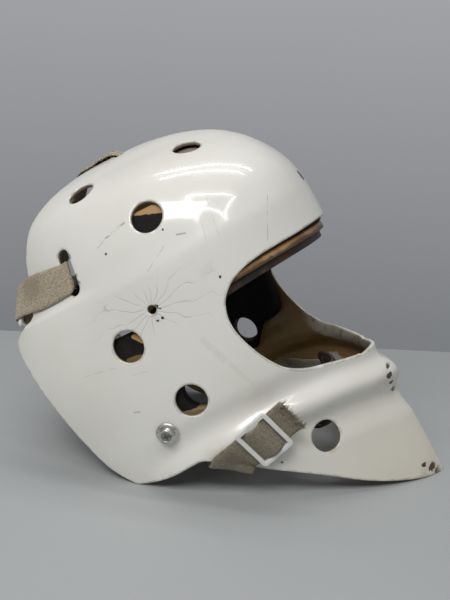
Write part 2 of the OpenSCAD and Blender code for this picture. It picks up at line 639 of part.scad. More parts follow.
module snap_nut(side) {
    color("gray") rest() sided(side) in_frame(stud_frame) translate([0, 0, nut_drop - 1.2]) difference() {
        union() {
            cylinder(d = flange_d - 2, h = 1.2, $fn = 48);
            translate([0, 0, -3]) cylinder(d = 8, h = 3.2, $fn = 6);
        }
        translate([0, 0, -10]) cylinder(d = screw_d + 0.02, h = 20, $fn = 32);
    }
}

module forehead_tnut() {
    color("gray") rest() on_skin([brow_reach, tnut_level]) difference() {
        union() {
            translate([0, 0, tnut_drop - 1.2]) cylinder(d = tnut_d, h = 1.2, $fn = 48);
            translate([0, 0, tnut_drop - 1]) cylinder(d = barrel_d, h = 1.2 - tnut_drop, $fn = 48);
        }
        translate([0, 0, -20]) cylinder(d = thread_d, h = 40, $fn = 48);
    }
}

shell();
forehead_pad();
sweatband();
sweatband_liner();
crown_pad();
temple_pad(1);  // temple_pad_left
temple_pad(-1);  // temple_pad_right
jaw_pad(1);  // jaw_pad_left
jaw_pad(-1);  // jaw_pad_right
chin_cup();
chin_strap(1);  // chin_strap_left
chin_strap(-1);  // chin_strap_right
chin_buckle(1);  // chin_buckle_left
chin_buckle(-1);  // chin_buckle_right
side_strap(1);  // side_strap_left
side_strap(-1);  // side_strap_right
side_buckle(1);  // side_buckle_left
side_buckle(-1);  // side_buckle_right
top_strap();
top_buckle();
back_plate();
back_pad();
snap_stud(1);  // snap_stud_left
snap_stud(-1);  // snap_stud_right
snap_screw(1);  // snap_screw_left
snap_screw(-1);  // snap_screw_right
snap_nut(1);  // snap_nut_left
snap_nut(-1);  // snap_nut_right
forehead_tnut();
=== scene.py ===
"""Ice hockey goalie mask with its wire cage off, lying on a pale table.

Shapes are worked out in millimetres in the wearer's axes, t forward, y to the wearer's left and
n up, and row() turns them into the frame's metres.
"""
import math

import bpy
import numpy as np
from mathutils import Matrix, Vector, geometry, kdtree


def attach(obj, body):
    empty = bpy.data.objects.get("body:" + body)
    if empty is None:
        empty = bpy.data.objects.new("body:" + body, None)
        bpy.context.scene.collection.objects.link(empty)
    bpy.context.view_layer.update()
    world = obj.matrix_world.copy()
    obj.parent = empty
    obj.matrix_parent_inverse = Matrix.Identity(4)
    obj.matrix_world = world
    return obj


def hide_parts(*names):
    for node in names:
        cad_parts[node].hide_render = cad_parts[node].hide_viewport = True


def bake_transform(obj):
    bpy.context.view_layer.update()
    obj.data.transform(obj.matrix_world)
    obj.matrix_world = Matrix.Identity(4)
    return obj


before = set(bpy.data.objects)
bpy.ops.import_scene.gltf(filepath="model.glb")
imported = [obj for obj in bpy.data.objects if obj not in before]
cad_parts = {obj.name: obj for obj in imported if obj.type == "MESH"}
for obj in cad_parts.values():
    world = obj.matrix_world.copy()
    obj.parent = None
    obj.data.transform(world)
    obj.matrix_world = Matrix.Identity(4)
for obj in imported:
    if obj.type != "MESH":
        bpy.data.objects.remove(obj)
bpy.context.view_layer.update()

MM = 0.001
SIDES = {"left": 1, "right": -1}

# How the mask lies on the table
REST_PITCH = math.radians(30)
REST_SHIFT = np.array([31.4, 0, 0.03])

# Shell
WALL = 3.2
CHEEK_HALF = 103
BROW = 168
CHIN = BROW - 1
CROWN = 233
CREASE = 146.5
LEDGE = 7
RIDGE_HEIGHT = 5
VALLEY = 2.5
RIM_RADIUS = 1.1
# Longest rim that is a drilled hole and not an edge of the shell
DRILLED_RIM = 110
CHINE = (14, 138)
CHINE_SLOPE = 0.055
CHINE_HEIGHT = 1.6
FACET = 2.3

# Webbing and buckles
WEB_W = 25
WEB_T = 1.8
BUCKLE_L = 26
BAR_W = 3
BUCKLE_W = WEB_W + 1 + 2 * BAR_W
BAR_T = 2.6
FIT = 0.3
BUCKLE_PLACE = (78.6, 9.5)
BUCKLE_AHEAD = (118.6, 21.9)
BUCKLE_LIFT = WEB_T + 2 * FIT + 0.1

# Pads
FOREHEAD_T = 6
BAND_T = 2.6
BAND_H = 17.5
CROWN_T = 8
CROWN_HALF = 62
TEMPLE_T = 11
JAW_T = 13

# Chin cup, part of a ball
CUP_CENTRE = np.array([88.0, 0, 8])
CUP_PITCH = math.radians(115)
CUP_R = 40
CUP_T = 3
CUP_W = 64
CUP_H = 50
CUP_CORNER = 12

# Back plate, part of a ball, and its pad
PLATE_CENTRE = np.array([18.0, 0, 122])
PLATE_TILT = math.radians(4)
PLATE_R = 80
PLATE_W = 88
PLATE_H = 80
PLATE_T = 2.6
PLATE_SLOT_X = 8
BACK_PAD_T = 9

# Profiles of the skin: rows of a level and the value there
FRONT = [(-110, CHIN), (-95, CHIN), (-71, CHIN - 0.5), (-44, CHIN - 2), (-20, CHIN - 3),
         (16, CHIN - 4.5), (60, BROW - 4), (122, BROW), (136, BROW - 0.5), (151, BROW - 2),
         (168, BROW - 6.5), (190, BROW - 19), (204, BROW - 32.5), (CROWN - 17, BROW - 51),
         (CROWN - 12, BROW - 63), (CROWN - 6.5, BROW - 82), (CROWN - 2.5, 62), (CROWN - 0.7, 40),
         (CROWN, 22)]
REAR = [(-110, -60), (0, -85), (60, -105), (100, -108), (145, -88), (165, -80), (183, -73),
        (203, -57), (212, -48), (CROWN - 15, -37), (CROWN - 10, -24), (CROWN - 5, -5), (CROWN, 22)]
WIDEST = [(-110, 60), (-60, 40), (-20, 28), (20, 30), (60, 38), (145, 50), (200, 38), (212, 22),
          (CROWN - 13, 9), (CROWN - 7, 8), (CROWN, 22)]
HALF = [(-110, CHEEK_HALF - 41), (-70, CHEEK_HALF - 23), (-40, CHEEK_HALF - 13),
        (-10, CHEEK_HALF - 6), (20, CHEEK_HALF - 2), (50, CHEEK_HALF), (100, CHEEK_HALF - 1),
        (140, CHEEK_HALF - 4), (147, CHEEK_HALF - 5.5), (168, CHEEK_HALF - 11),
        (182, CHEEK_HALF - 17), (192, CHEEK_HALF - 22.5), (200, CHEEK_HALF - 28.5),
        (207, CHEEK_HALF - 36.5), (212, CHEEK_HALF - 44), (CROWN - 16, CHEEK_HALF - 53),
        (CROWN - 12, 42), (CROWN - 8, 32), (CROWN - 3, 15), (CROWN, 0)]
POINTED = [(-110, 1.5), (-20, 1.45), (20, 1.25), (60, 1.05), (120, 1), (190, 1), (207, 1.35),
           (216, 1.5), (CROWN, 1.3)]
SQUARED = [(-110, 0.6), (100, 0.55), (140, 0.7), (160, 0.9), (190, 0.8), (205, 0.75), (218, 0.75),
           (CROWN, 0.9)]
RIDGE = [(-20, 0), (20, 8), (50, 12.5), (86, 13.5), (113, 11), (135, 5.5), (150, -1), (BROW, -11)]

# Edges of the shell in side view, as points (t, n), and of the rear opening
FACE = [(BROW + 30, 121), (BROW, 120), (154, 119), (141, 118.5), (128, 117.5), (116, 115),
        (106, 110), (98.5, 102), (95, 92), (95, 82), (97.5, 71), (102, 59), (108.5, 46.5),
        (115.5, 38), (123, 32.5), (133, 28), (143, 23), (152, 18.5), (158, 16.5), (BROW + 30, 15)]
JAW = [(-41, 147), (-56, 141), (-60.5, 136), (-60, 128), (-55.5, 112), (-49.5, 86), (-43, 56),
       (-34.5, 31), (-22, 13.5), (-14, 9.5), (0, 8), (13, 8.5), (30, 11), (38, 11), (46, 5),
       (58, -6), (80, -23), (102, -42), (115, -55), (128, -67), (140, -77), (154, -88), (163, -94),
       (CHIN, -96), (BROW + 20, -96)]
ARCH = [(0, 188), (12.6, 187.6), (24.4, 178.8), (36.5, 167.5), (44.9, 156), (52.4, 144),
        (60.6, 130.2), (66.3, 114.2), (70, 101), (75, 85.7)]
ARCH_PITCH = math.radians(41.3)

# Holes: vents as (t, n, diameter), then the cage's hole, the stud and the strap slots
VENTS = [(28, 211.5, 20), (74, 173.5, 22), (26, 102, 22), (49, 52, 22), (112.5, -16, 22),
         (106.5, 207, 20)]
CAGE_HOLE = (53, 117.5, 6)
STUD = (23, 38)
STUD_HOLE = 4.6
SLOT = ((4.5, 176), (5, 153), 10)
TOP_SLOT = (50, 8)
TNUT = (BROW, 153.5, 8.6)


def row(p):
    """Wearer's axes in millimetres to the frame's metres."""
    p = np.asarray(p, float)
    c, s = math.cos(REST_PITCH), math.sin(REST_PITCH)
    turned = np.stack([p[..., 0] * c - p[..., 2] * s, p[..., 1], p[..., 0] * s + p[..., 2] * c], -1)
    return (turned - REST_SHIFT) * MM


def unit(v):
    v = np.asarray(v, float)
    return v / np.maximum(np.linalg.norm(v, axis=-1, keepdims=True), 1e-12)


def mix(a, b, u):
    return np.asarray(a, float) + (np.asarray(b, float) - np.asarray(a, float)) * u


def ease(a, b, x):
    u = np.clip((x - a) / (b - a), 0, 1)
    return u * u * (3 - 2 * u)


def swell(width, x):
    return np.where(np.abs(x) < width, (1 + np.cos(np.pi * x / width)) / 2, 0)


def spline(rows, x):
    """Smooth curve through rows of (place, value), flat beyond its ends."""
    k = np.array(rows, float)
    steps = np.diff(k[:, 0])
    slopes = np.diff(k[:, 1]) / steps
    inner = (slopes[:-1] * steps[1:] + slopes[1:] * steps[:-1]) / (steps[:-1] + steps[1:])
    tangents = np.concatenate([slopes[:1], inner, slopes[-1:]])
    x = np.clip(x, k[0, 0], k[-1, 0])
    i = np.clip(np.searchsorted(k[:, 0], x, side="right") - 1, 0, len(steps) - 1)
    u = (x - k[i, 0]) / steps[i]
    return ((2 * u**3 - 3 * u**2 + 1) * k[i, 1] + (u**3 - 2 * u**2 + u) * steps[i] * tangents[i]
            + (3 * u**2 - 2 * u**3) * k[i + 1, 1] + (u**3 - u**2) * steps[i] * tangents[i + 1])


def through(points, steps=12):
    """Smooth curve through the points of an outline."""
    p = np.array(points, float)
    curve = []
    for i in range(len(p) - 1):
        a, b, c, d = p[max(i - 1, 0)], p[i], p[i + 1], p[min(i + 2, len(p) - 1)]
        u = np.arange(steps)[:, None] / steps
        curve.append(0.5 * (2 * b + (c - a) * u + (2 * a - 5 * b + 4 * c - d) * u**2
                            + (3 * b - a - 3 * c + d) * u**3))
    return np.concatenate(curve + [p[-1:]])


def relief(t, n):
    """Ridge over the chin with its two valleys, and the ledge behind the ears."""
    r = n - spline(RIDGE, t)
    ridge = RIDGE_HEIGHT * swell(15, r) - VALLEY * swell(15, r - 17) - VALLEY * swell(18, r + 19)
    ledge = LEDGE * ease(30, -45, t) * ease(CREASE + 2.5, CREASE - 2.5, n) * ease(40, 110, n)
    over = n - (CHINE[1] + CHINE_SLOPE * (t - CHINE[0]))
    chine = CHINE_HEIGHT * np.exp(-np.sqrt(over**2 + 4) / 16) * ease(0, 30, t) * ease(BROW, 140, t)
    return ease(-20, 40, t) * ridge + ledge + chine


def ring(a, n):
    """Point of the skin before its relief, and the way in which the relief lifts it."""
    c, s = np.cos(a), np.abs(np.sin(a))
    mid, half = spline(WIDEST, n), spline(HALF, n)
    reach = np.where(c >= 0, spline(FRONT, n) - mid, mid - spline(REAR, n))
    power = np.where(c >= 0, spline(POINTED, n), spline(SQUARED, n))
    way = unit(np.stack([c / np.maximum(reach, 1), s / np.maximum(half, 1)], -1))
    return mid + reach * c, half * s**power, way


def skin(a, n):
    """Point of the outer skin: a is the angle from the front round to the left, n the level."""
    a, n = np.broadcast_arrays(np.asarray(a, float), np.asarray(n, float))
    t, y, way = ring(a, n)
    d = relief(t, n)
    return np.stack([t + d * way[..., 0], np.sign(np.sin(a)) * (y + d * way[..., 1]), n], -1)


def skin_normal(a, n):
    a, n = np.broadcast_arrays(np.asarray(a, float), np.asarray(n, float))
    da, dn = math.radians(0.5), 0.4
    normal = unit(np.cross(skin(a + da, n) - skin(a - da, n), skin(a, n + dn) - skin(a, n - dn)))
    return np.where((n > CROWN - 1)[..., None], [0.0, 0.0, 1.0], normal)


def off_skin(a, n, d):
    return skin(a, n) + np.asarray(d, float)[..., None] * skin_normal(a, n)


def angle_at(t, n):
    """Angle at which the ring of level n passes t."""
    t, n = np.broadcast_arrays(np.asarray(t, float), np.asarray(n, float))
    mid = spline(WIDEST, n)
    reach = np.where(t > mid, spline(FRONT, n) - mid, mid - spline(REAR, n))
    return np.arccos(np.clip((t - mid) / reach, -1, 1))


def at(p, d):
    """Point over the side-view point p on the wearer's left, at a distance d outside the skin."""
    p = np.asarray(p, float)
    return off_skin(angle_at(p[..., 0], p[..., 1]), p[..., 1], d)


def skin_frame(p, ahead, long, wide):
    """Frame on the skin's high spots round p: base, x ahead, y across, z outwards."""
    p, ahead = np.asarray(p, float), np.asarray(ahead, float)
    u = unit(ahead - p)
    v = np.array([u[1], -u[0]])
    way = at(p + long * u, 0) - at(p - long * u, 0)
    side = at(p + wide * v, 0) - at(p - wide * v, 0)
    z = unit(np.cross(way, side))
    x = unit(way)
    spots = [p + i * long * u + j * wide * v for i in np.arange(-1, 1.1, 0.5)
             for j in np.arange(-1, 1.1, 0.5)]
    rise = max(float((at(q, 0) - at(p, 0)) @ z) for q in spots)
    return at(p, 0) + rise * z, x, np.cross(z, x), z


def normal_frame(p, ahead=(300, 0)):
    """Frame on the skin with z outwards and x towards the side-view point ahead."""
    p, ahead = np.asarray(p, float), np.asarray(ahead, float)
    base = at(p, 0)
    z = skin_normal(angle_at(*p), p[1])
    way = at(p + 2 * unit(ahead - p), 0) - base
    x = unit(way - (way @ z) * z)
    return base, x, np.cross(z, x), z


def framed(base, way, down):
    x = unit(way)
    z = unit(np.cross(x, down))
    return np.asarray(base, float), x, np.cross(z, x), z


# Shell

def inside(outline, x, y):
    """Whether the points x, y lie in a closed outline."""
    found = np.zeros(np.shape(x), bool)
    px, py = outline[-1]
    for qx, qy in outline:
        if py != qy:
            crossed = (py > y) != (qy > y)
            found ^= crossed & (x < px + (y - py) / (qy - py) * (qx - px))
        px, py = qx, qy
    return found


def skin_angle(t, n):
    """Angle at which the lifted skin passes t at the level n."""
    a = angle_at(t, n)
    for _ in range(8):
        bare_t, _, way = ring(a, n)
        a = angle_at(t - relief(bare_t, n) * way[..., 0], n)
    return a


def rear_angle(y, n):
    """Angle behind the ears at which the skin is y wide at the level n."""
    a = np.full(np.shape(y), np.pi)
    for _ in range(8):
        t, _, way = ring(a, n)
        share = np.clip((y - relief(t, n) * way[..., 1]) / spline(HALF, n), 0, 1)
        a = np.pi - np.arcsin(share ** (1 / spline(SQUARED, n)))
    return a


def spaced(a, n, step):
    """Curve on the skin with its points a step apart, ends kept."""
    length = np.linalg.norm(np.diff(skin(a, n), axis=0), axis=1)
    along = np.concatenate([[0], np.cumsum(length)])
    places = np.linspace(0, along[-1], max(3, round(along[-1] / step) + 1))
    return np.interp(places, along, a), np.interp(places, along, n)


def side_curve(outline):
    """Where a side-view outline meets the skin, out to the middle line in front."""
    t, n = outline[:, 0], outline[:, 1]
    over = t - skin(0.0, n)[:, 0]
    kept = np.flatnonzero(over <= 0)
    a = skin_angle(t[kept], n[kept])
    levels = n[kept]
    ends = [(kept[0] - 1, kept[0]), (kept[-1], kept[-1] + 1)]
    for place, (i, j) in zip((0, len(a)), ends):
        if 0 <= i and j < len(t):
            u = over[i] / (over[i] - over[j])
            a = np.insert(a, place if place == 0 else len(a), 0.0)
            levels = np.insert(levels, place if place == 0 else len(levels), mix(n[i], n[j], u))
    return a, levels


def arch_curve(outline):
    """Where the rear opening's outline meets the skin."""
    y, height = outline[:, 0], outline[:, 1]
    low, high = np.full(len(y), 60.0), np.full(len(y), 215.0)
    for _ in range(30):
        n = (low + high) / 2
        t = skin(rear_angle(y, n), n)[:, 0]
        under = t * math.sin(ARCH_PITCH) + n * math.cos(ARCH_PITCH) < height
        low, high = np.where(under, n, low), np.where(under, high, n)
    return rear_angle(y, n), n


def pierced(base_frame, start, outline):
    """Where an outline, drawn in a frame's plane and driven along its z, meets the skin."""
    base, x, y, _ = base_frame
    a, n = np.full(len(outline), start[0]), np.full(len(outline), float(start[1]))
    for _ in range(12):
        p = skin(a, n)
        miss = np.stack([outline[:, 0] - (p - base) @ x, outline[:, 1] - (p - base) @ y])
        by_a, by_n = (skin(a + 1e-4, n) - p) / 1e-4, (skin(a, n + 1e-2) - p) / 1e-2
        m = np.array([[by_a @ x, by_n @ x], [by_a @ y, by_n @ y]])
        det = m[0, 0] * m[1, 1] - m[0, 1] * m[1, 0]
        a = a + (miss[0] * m[1, 1] - miss[1] * m[0, 1]) / det
        n = n + (m[0, 0] * miss[1] - m[1, 0] * miss[0]) / det
    return a, n


def capsule(half_length, radius, count=40):
    """Outline of a slot along x, or of a circle."""
    turn = np.arange(count) * 2 * np.pi / count + 1e-6
    x = radius * np.cos(turn)
    return np.stack([x + half_length * np.sign(x), radius * np.sin(turn)], -1)


def roof(t, y):
    """Angle and level of the skin over the plan point t, y."""
    t, y = np.broadcast_arrays(np.asarray(t, float), np.asarray(y, float))
    low, high = np.full(t.shape, 150.0), np.full(t.shape, CROWN - 0.05)
    for _ in range(24):
        n = (low + high) / 2
        reach = np.where(t > spline(WIDEST, n), spline(FRONT, n), spline(REAR, n))
        covered = np.abs(t - spline(WIDEST, n)) < np.abs(reach - spline(WIDEST, n))
        bare_y = ring(angle_at(t, n), n)[1]
        up = covered & (bare_y > np.abs(y))
        low, high = np.where(up, n, low), np.where(up, high, n)
    return angle_at(t, n), n


def shell_holes():
    """Each hole of the left half as its frame, half-length, radius and outline on the skin."""
    holes = []
    rounds = [(v[:2], v[2] / 2) for v in VENTS] + [(CAGE_HOLE[:2], CAGE_HOLE[2] / 2)]
    for p, radius in rounds + [(STUD, STUD_HOLE / 2)]:
        base_frame = normal_frame(p)
        start = (float(angle_at(*p)), p[1])
        count = max(20, round(2 * np.pi * radius / 1.7))
        curve = pierced(base_frame, start, capsule(0, radius, count))
        holes.append((base_frame, 0, radius, curve))
    top, foot, width = SLOT
    middle = mix(top, foot, 0.5)
    base_frame = normal_frame(middle, top)
    half_length = np.linalg.norm(at(top, 0) - at(foot, 0)) / 2
    start = (float(angle_at(*middle)), middle[1])
    curve = pierced(base_frame, start, capsule(half_length, width / 2, 40))
    holes.append((base_frame, half_length, width / 2, curve))
    return holes


def domain_tables():
    """Levels, and the log of the radius of each in a plan of the skin that keeps angles."""
    n = CROWN - np.linspace(0, 1, 1600)[1:] ** 2 * (CROWN + 104)
    radius = np.sqrt(spline(HALF, n) * (spline(FRONT, n) - spline(REAR, n)) / 2)
    step = np.hypot(np.diff(n), np.diff(radius))
    log_radius = np.concatenate([[0], np.cumsum(step * 2 / (radius[1:] + radius[:-1]))])
    return n[::-1], log_radius[::-1], np.concatenate([[0], np.cumsum(step)])[::-1]


def tree_of(points):
    tree = kdtree.KDTree(len(points))
    for i, p in enumerate(points):
        tree.insert(p, i)
    tree.balance()
    return tree


def half_skin():
    """Points, normals and triangles of the left half of the outer skin, with its edges cut."""
    levels, logs, lengths = domain_tables()
    face_outline, arch = through(FACE, 40), through(ARCH, 40)
    jaw_outline = np.concatenate([[(JAW[0][0] - 1, CREASE + 3)], through(JAW, 40),
                                  [(BROW + 80, -96), (BROW + 80, -200), (-300, -200),
                                   (-300, CREASE + 3)]])
    arch_outline = np.concatenate([arch, [(75, -150), (0, -150)]])
    holes = shell_holes()

    a, n, edges = [], [], []

    def add_curve(curve, closed=False):
        first = sum(len(part) for part in a)
        a.append(np.asarray(curve[0]))
        n.append(np.asarray(curve[1]))
        count = len(curve[0])
        edges.extend((first + i, first + (i + 1) % count) for i in range(count - (not closed)))

    step = 0.8 * FACET
    add_curve(spaced(*side_curve(face_outline), step))
    add_curve(spaced(*side_curve(through(JAW, 40)), step))
    add_curve(spaced(*arch_curve(arch), step))
    for hole in holes:
        add_curve(hole[3], closed=True)
    slot_t, slot_width = TOP_SLOT
    turn = np.linspace(0, np.pi, 15)
    slot_side = np.concatenate([[0], WEB_W / 2 + 1 + slot_width / 2 * np.sin(turn), [0]])
    slot_along = slot_width / 2 * np.cos(np.concatenate([[0], turn, [np.pi]]))
    slot_a, slot_n = roof(slot_t + slot_along, slot_side)
    slot_a[[0, -1]] = 0
    add_curve((slot_a, slot_n))
    nut_frame = (skin(0.0, TNUT[1]), *np.eye(3)[[1]], np.cross(skin_normal(0.0, TNUT[1]), [0, 1, 0]),
                 skin_normal(0.0, TNUT[1]))
    turn = np.linspace(-np.pi / 2, np.pi / 2, 11)
    nut_outline = TNUT[2] / 2 * np.stack([np.cos(turn), np.sin(turn)], -1)
    nut_a, nut_n = pierced(nut_frame, (0.05, TNUT[1]), nut_outline)
    nut_a[[0, -1]] = 0
    add_curve((nut_a, nut_n))

    edge_points = skin(np.concatenate(a), np.concatenate(n))
    tree = tree_of(edge_points)
    fine = np.linspace(0, np.pi, 241)
    for i, place in enumerate(np.arange(FACET, lengths[0], FACET)):
        level = float(np.interp(-place, -lengths, levels))
        along = np.linalg.norm(np.diff(skin(fine, level), axis=0), axis=1)
        along = np.concatenate([[0], np.cumsum(along)])
        count = max(4, round(along[-1] / (1.12 * FACET)))
        if i % 2:
            shares = np.concatenate([[0], (np.arange(count) + 0.5) / count, [1]])
        else:
            shares = np.linspace(0, 1, count + 1)
        angles = np.interp(shares * along[-1], along, fine)
        far = [tree.find(p)[2] > 0.65 * FACET for p in skin(angles, level)]
        a.append(angles[far])
        n.append(np.full(int(np.sum(far)), level))
    a.append([0.0])
    n.append([float(levels[-1])])
    a, n = np.concatenate(a), np.concatenate(n)

    radius = np.exp(np.interp(n, levels, logs))
    flat = np.stack([radius * np.cos(a), radius * np.sin(a)], -1)
    flat[(a == 0) | (a == np.pi), 1] = 0
    cut = geometry.delaunay_2d_cdt([Vector(p) for p in flat], edges, [], 0, 1e-7)
    spots = np.array([tuple(v) for v in cut[0]])
    tris = np.array(cut[2])
    origin = np.array([ids[0] if ids else -1 for ids in cut[3]])
    found_a = np.arctan2(spots[:, 1], spots[:, 0])
    found_n = np.interp(np.log(np.hypot(*spots.T)), logs[::-1], levels[::-1])
    a = np.where(origin >= 0, a[origin], found_a)
    n = np.where(origin >= 0, n[origin], found_n)

    centres = spots[tris].mean(axis=1)
    centre_n = np.interp(np.log(np.hypot(*centres.T)), logs[::-1], levels[::-1])
    p = skin(np.arctan2(centres[:, 1], centres[:, 0]), centre_n)
    rise = p[:, 0] * math.sin(ARCH_PITCH) + p[:, 2] * math.cos(ARCH_PITCH)
    behind = p[:, 0] * math.cos(ARCH_PITCH) - p[:, 2] * math.sin(ARCH_PITCH) < -75
    gone = inside(face_outline, p[:, 0], p[:, 2]) | inside(jaw_outline, p[:, 0], p[:, 2])
    gone |= behind & inside(arch_outline, p[:, 1], rise)
    from_slot = np.hypot(p[:, 0] - slot_t, np.maximum(p[:, 1] - WEB_W / 2 - 1, 0))
    gone |= (from_slot < slot_width / 2) & (p[:, 2] > 200)
    gone |= (np.linalg.norm(p - nut_frame[0], axis=1) < TNUT[2] / 2)
    for (base, x, y, z), half_length, radius, _ in holes:
        q = p - base
        reach = np.hypot(np.maximum(np.abs(q @ x) - half_length, 0), q @ y)
        gone |= (reach < radius) & (np.abs(q @ z) < 14)
    tris = tris[~gone]
    used, tris = np.unique(tris, return_inverse=True)
    a, n = a[used], n[used]
    points, normals = skin(a, n), skin_normal(a, n)
    middle = (a == 0) | (a == np.pi) | (np.abs(points[:, 1]) < 1e-3)
    points[middle, 1] = 0
    normals[middle, 1] = 0
    return points, unit(normals), tris.reshape(-1, 3)


def both_halves(points, normals, tris):
    """The left half with its mirror twin, joined along the middle."""
    side = points[:, 1] != 0
    twin = np.where(side, len(points) + np.cumsum(side) - 1, np.arange(len(points)))
    flip = np.array([1, -1, 1])
    return (np.concatenate([points, points[side] * flip]),
            np.concatenate([normals, normals[side] * flip]),
            np.concatenate([tris, twin[tris][:, ::-1]]))


def open_edges(tris):
    """Directed edges that only one triangle has, as the next point of each edge point."""
    pairs = np.concatenate([tris[:, [0, 1]], tris[:, [1, 2]], tris[:, [2, 0]]])
    known = set(map(tuple, pairs))
    return {i: j for i, j in known if (j, i) not in known}


def thicken(points, normals, tris, wall, radius):
    """Give a sheet a wall with round rims.

    Returns the vertices, groups of faces, how far through the wall each vertex lies, its distance
    from the nearest rim, and for each group of rim faces the length of the rim they go round.
    """
    following = open_edges(tris)
    edge = np.array(sorted(following))
    after = np.array([following[i] for i in edge])
    spot = {int(i): k for k, i in enumerate(edge)}
    there = np.array([spot[int(i)] for i in after])
    before = np.empty_like(edge)
    before[there] = edge
    out = unit(np.cross(unit(points[after] - points[before]), normals[edge]))
    sharp = points[edge].copy()

    tree = tree_of(sharp)
    from_edge = np.array([tree.find(p)[2] for p in points])

    points = points.copy()
    points[edge] -= radius * out
    wall = np.broadcast_to(wall, len(points))
    curls = [(math.sin(math.radians(turn)), 1 - math.cos(math.radians(turn))) for turn in (30, 60, 90)]
    rings, depths = [], []
    for upper in (True, False):
        for s, c in curls if upper else curls[::-1]:
            depths.append(radius * c if upper else wall[edge] - radius * c)
            rings.append(sharp - radius * (1 - s) * out - np.reshape(depths[-1], (-1, 1)) * normals[edge])

    count = len(points)
    vertices = np.concatenate([points, points - wall[:, None] * normals] + rings)
    through_wall = np.concatenate([np.zeros(count), np.ones(count)]
                                  + [np.broadcast_to(d / wall[edge], len(edge)) for d in depths])
    edge_distance = np.concatenate([from_edge, from_edge, np.zeros(len(edge) * len(rings))])

    loop, lengths = np.full(count, -1), []
    for start in edge:
        if loop[start] < 0:
            i, length = int(start), 0.0
            while loop[i] < 0:
                loop[i] = len(lengths)
                length += np.linalg.norm(points[following[i]] - points[i])
                i = following[i]
            lengths.append(length)

    here = np.arange(len(edge))
    layers = [edge] + [2 * count + k * len(edge) + here for k in range(len(rings))] + [count + edge]
    faces = [tris, tris[:, ::-1] + count]
    for near, deep in zip(layers, layers[1:]):
        faces.append(np.stack([near[there], near[here], deep[here], deep[there]], -1))
    return vertices, faces, through_wall, edge_distance, np.array(lengths)[loop[edge]]


def shell_mesh():
    """The shell with a material slot for each face: paint, bare laminate inside, drilled walls."""
    vertices, faces, through_wall, edge_distance, around = thicken(*both_halves(*half_skin()), WALL,
                                                                   RIM_RADIUS)
    slots = [np.zeros(len(faces[0]), int), np.ones(len(faces[1]), int)]
    for k in range(len(faces) - 2):
        slots.append(np.where((around < DRILLED_RIM) & (k > 1), 2, 1 if k >= 5 else 0))
    return vertices, faces, np.concatenate(slots), through_wall, edge_distance


def cut_sheet(loops, step):
    """Flat points and triangles inside the first of the closed loops and outside the others."""
    border = np.concatenate(loops)
    edges, first = [], 0
    for loop in loops:
        count = len(loop)
        edges.extend((first + i, first + (i + 1) % count) for i in range(count))
        first += count
    low, high = border.min(axis=0), border.max(axis=0)
    x, y = np.meshgrid(np.arange(low[0], high[0], step), np.arange(low[1], high[1], step * 0.866))
    grid = np.stack([(x + step / 2 * (np.arange(len(x)) % 2)[:, None]).ravel(), y.ravel()], -1)
    kept = inside(loops[0], *grid.T)
    for loop in loops[1:]:
        kept &= ~inside(loop, *grid.T)
    kept[kept] = [np.min(np.hypot(*(border - p).T)) > 0.6 * step for p in grid[kept]]
    points = np.concatenate([border, grid[kept]])
    cut = geometry.delaunay_2d_cdt([Vector(p) for p in points], edges, [], 0, 1e-7)
    spots, tris = np.array([tuple(v) for v in cut[0]]), np.array(cut[2])
    centres = spots[tris].mean(axis=1)
    kept = inside(loops[0], *centres.T)
    for loop in loops[1:]:
        kept &= ~inside(loop, *centres.T)
    return spots, tris[kept]


def rounded(half_x, half_y, radius, middle=(0, 0), steps=8):
    """Closed outline of a rectangle with round corners."""
    points = []
    for k, (x, y) in enumerate(((1, 1), (-1, 1), (-1, -1), (1, -1))):
        turn = np.radians(90 * k) + np.linspace(0, np.pi / 2, steps)
        corner = np.array([x * (half_x - radius), y * (half_y - radius)])
        points.append(corner + radius * np.stack([np.cos(turn), np.sin(turn)], -1))
    return np.concatenate(points) + np.array(middle)


def even(outline, step):
    """The same closed outline with points a step apart."""
    closed = np.concatenate([outline, outline[:1]])
    along = np.concatenate([[0], np.cumsum(np.linalg.norm(np.diff(closed, axis=0), axis=1))])
    places = np.linspace(0, along[-1], max(8, round(along[-1] / step)) + 1)[:-1]
    return np.stack([np.interp(places, along, closed[:, k]) for k in (0, 1)], -1)


# Pieces

def add_object(name, data):
    made = bpy.data.objects.new(name, data)
    bpy.context.scene.collection.objects.link(made)
    return made


def add_piece(name, vertices, faces, body, replaces=(), slots=None, smooth=True):
    """Mesh object from points in the wearer's millimetres and faces as arrays or lists."""
    mesh = bpy.data.meshes.new(name)
    faces = [face for group in faces for face in (group if isinstance(group, list) else group.tolist())]
    mesh.from_pydata(row(vertices).tolist(), [], faces)
    if slots is not None:
        mesh.polygons.foreach_set("material_index", np.asarray(slots, np.int32))
    mesh.polygons.foreach_set("use_smooth", np.full(len(mesh.polygons), smooth))
    mesh.validate()
    mesh.update()
    piece = add_object(name, mesh)
    if body:
        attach(piece, body)
    if replaces:
        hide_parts(*replaces)
    return piece


def dress(piece, *materials):
    for material in materials:
        piece.data.materials.append(material)


def point_value(piece, name, values):
    layer = piece.data.attributes.new(name, "FLOAT", "POINT")
    layer.data.foreach_set("value", np.asarray(values, np.float32))


def sheet_uv(piece, uv):
    """UV in millimetres over each point of the piece."""
    layer = piece.data.uv_layers.new(name="weave")
    corner = np.empty(len(piece.data.loops), np.int32)
    piece.data.loops.foreach_get("vertex_index", corner)
    layer.data.foreach_set("uv", np.asarray(uv, np.float32)[corner].ravel())


def make_shell():
    vertices, faces, slots, through_wall, edge_distance = shell_mesh()
    shell = add_piece("mask_shell", vertices, faces, "mask", ["shell"], slots)
    point_value(shell, "through_wall", through_wall)
    point_value(shell, "edge_distance", edge_distance)
    dress(shell, paint(), composite(), laminate())


# Pads

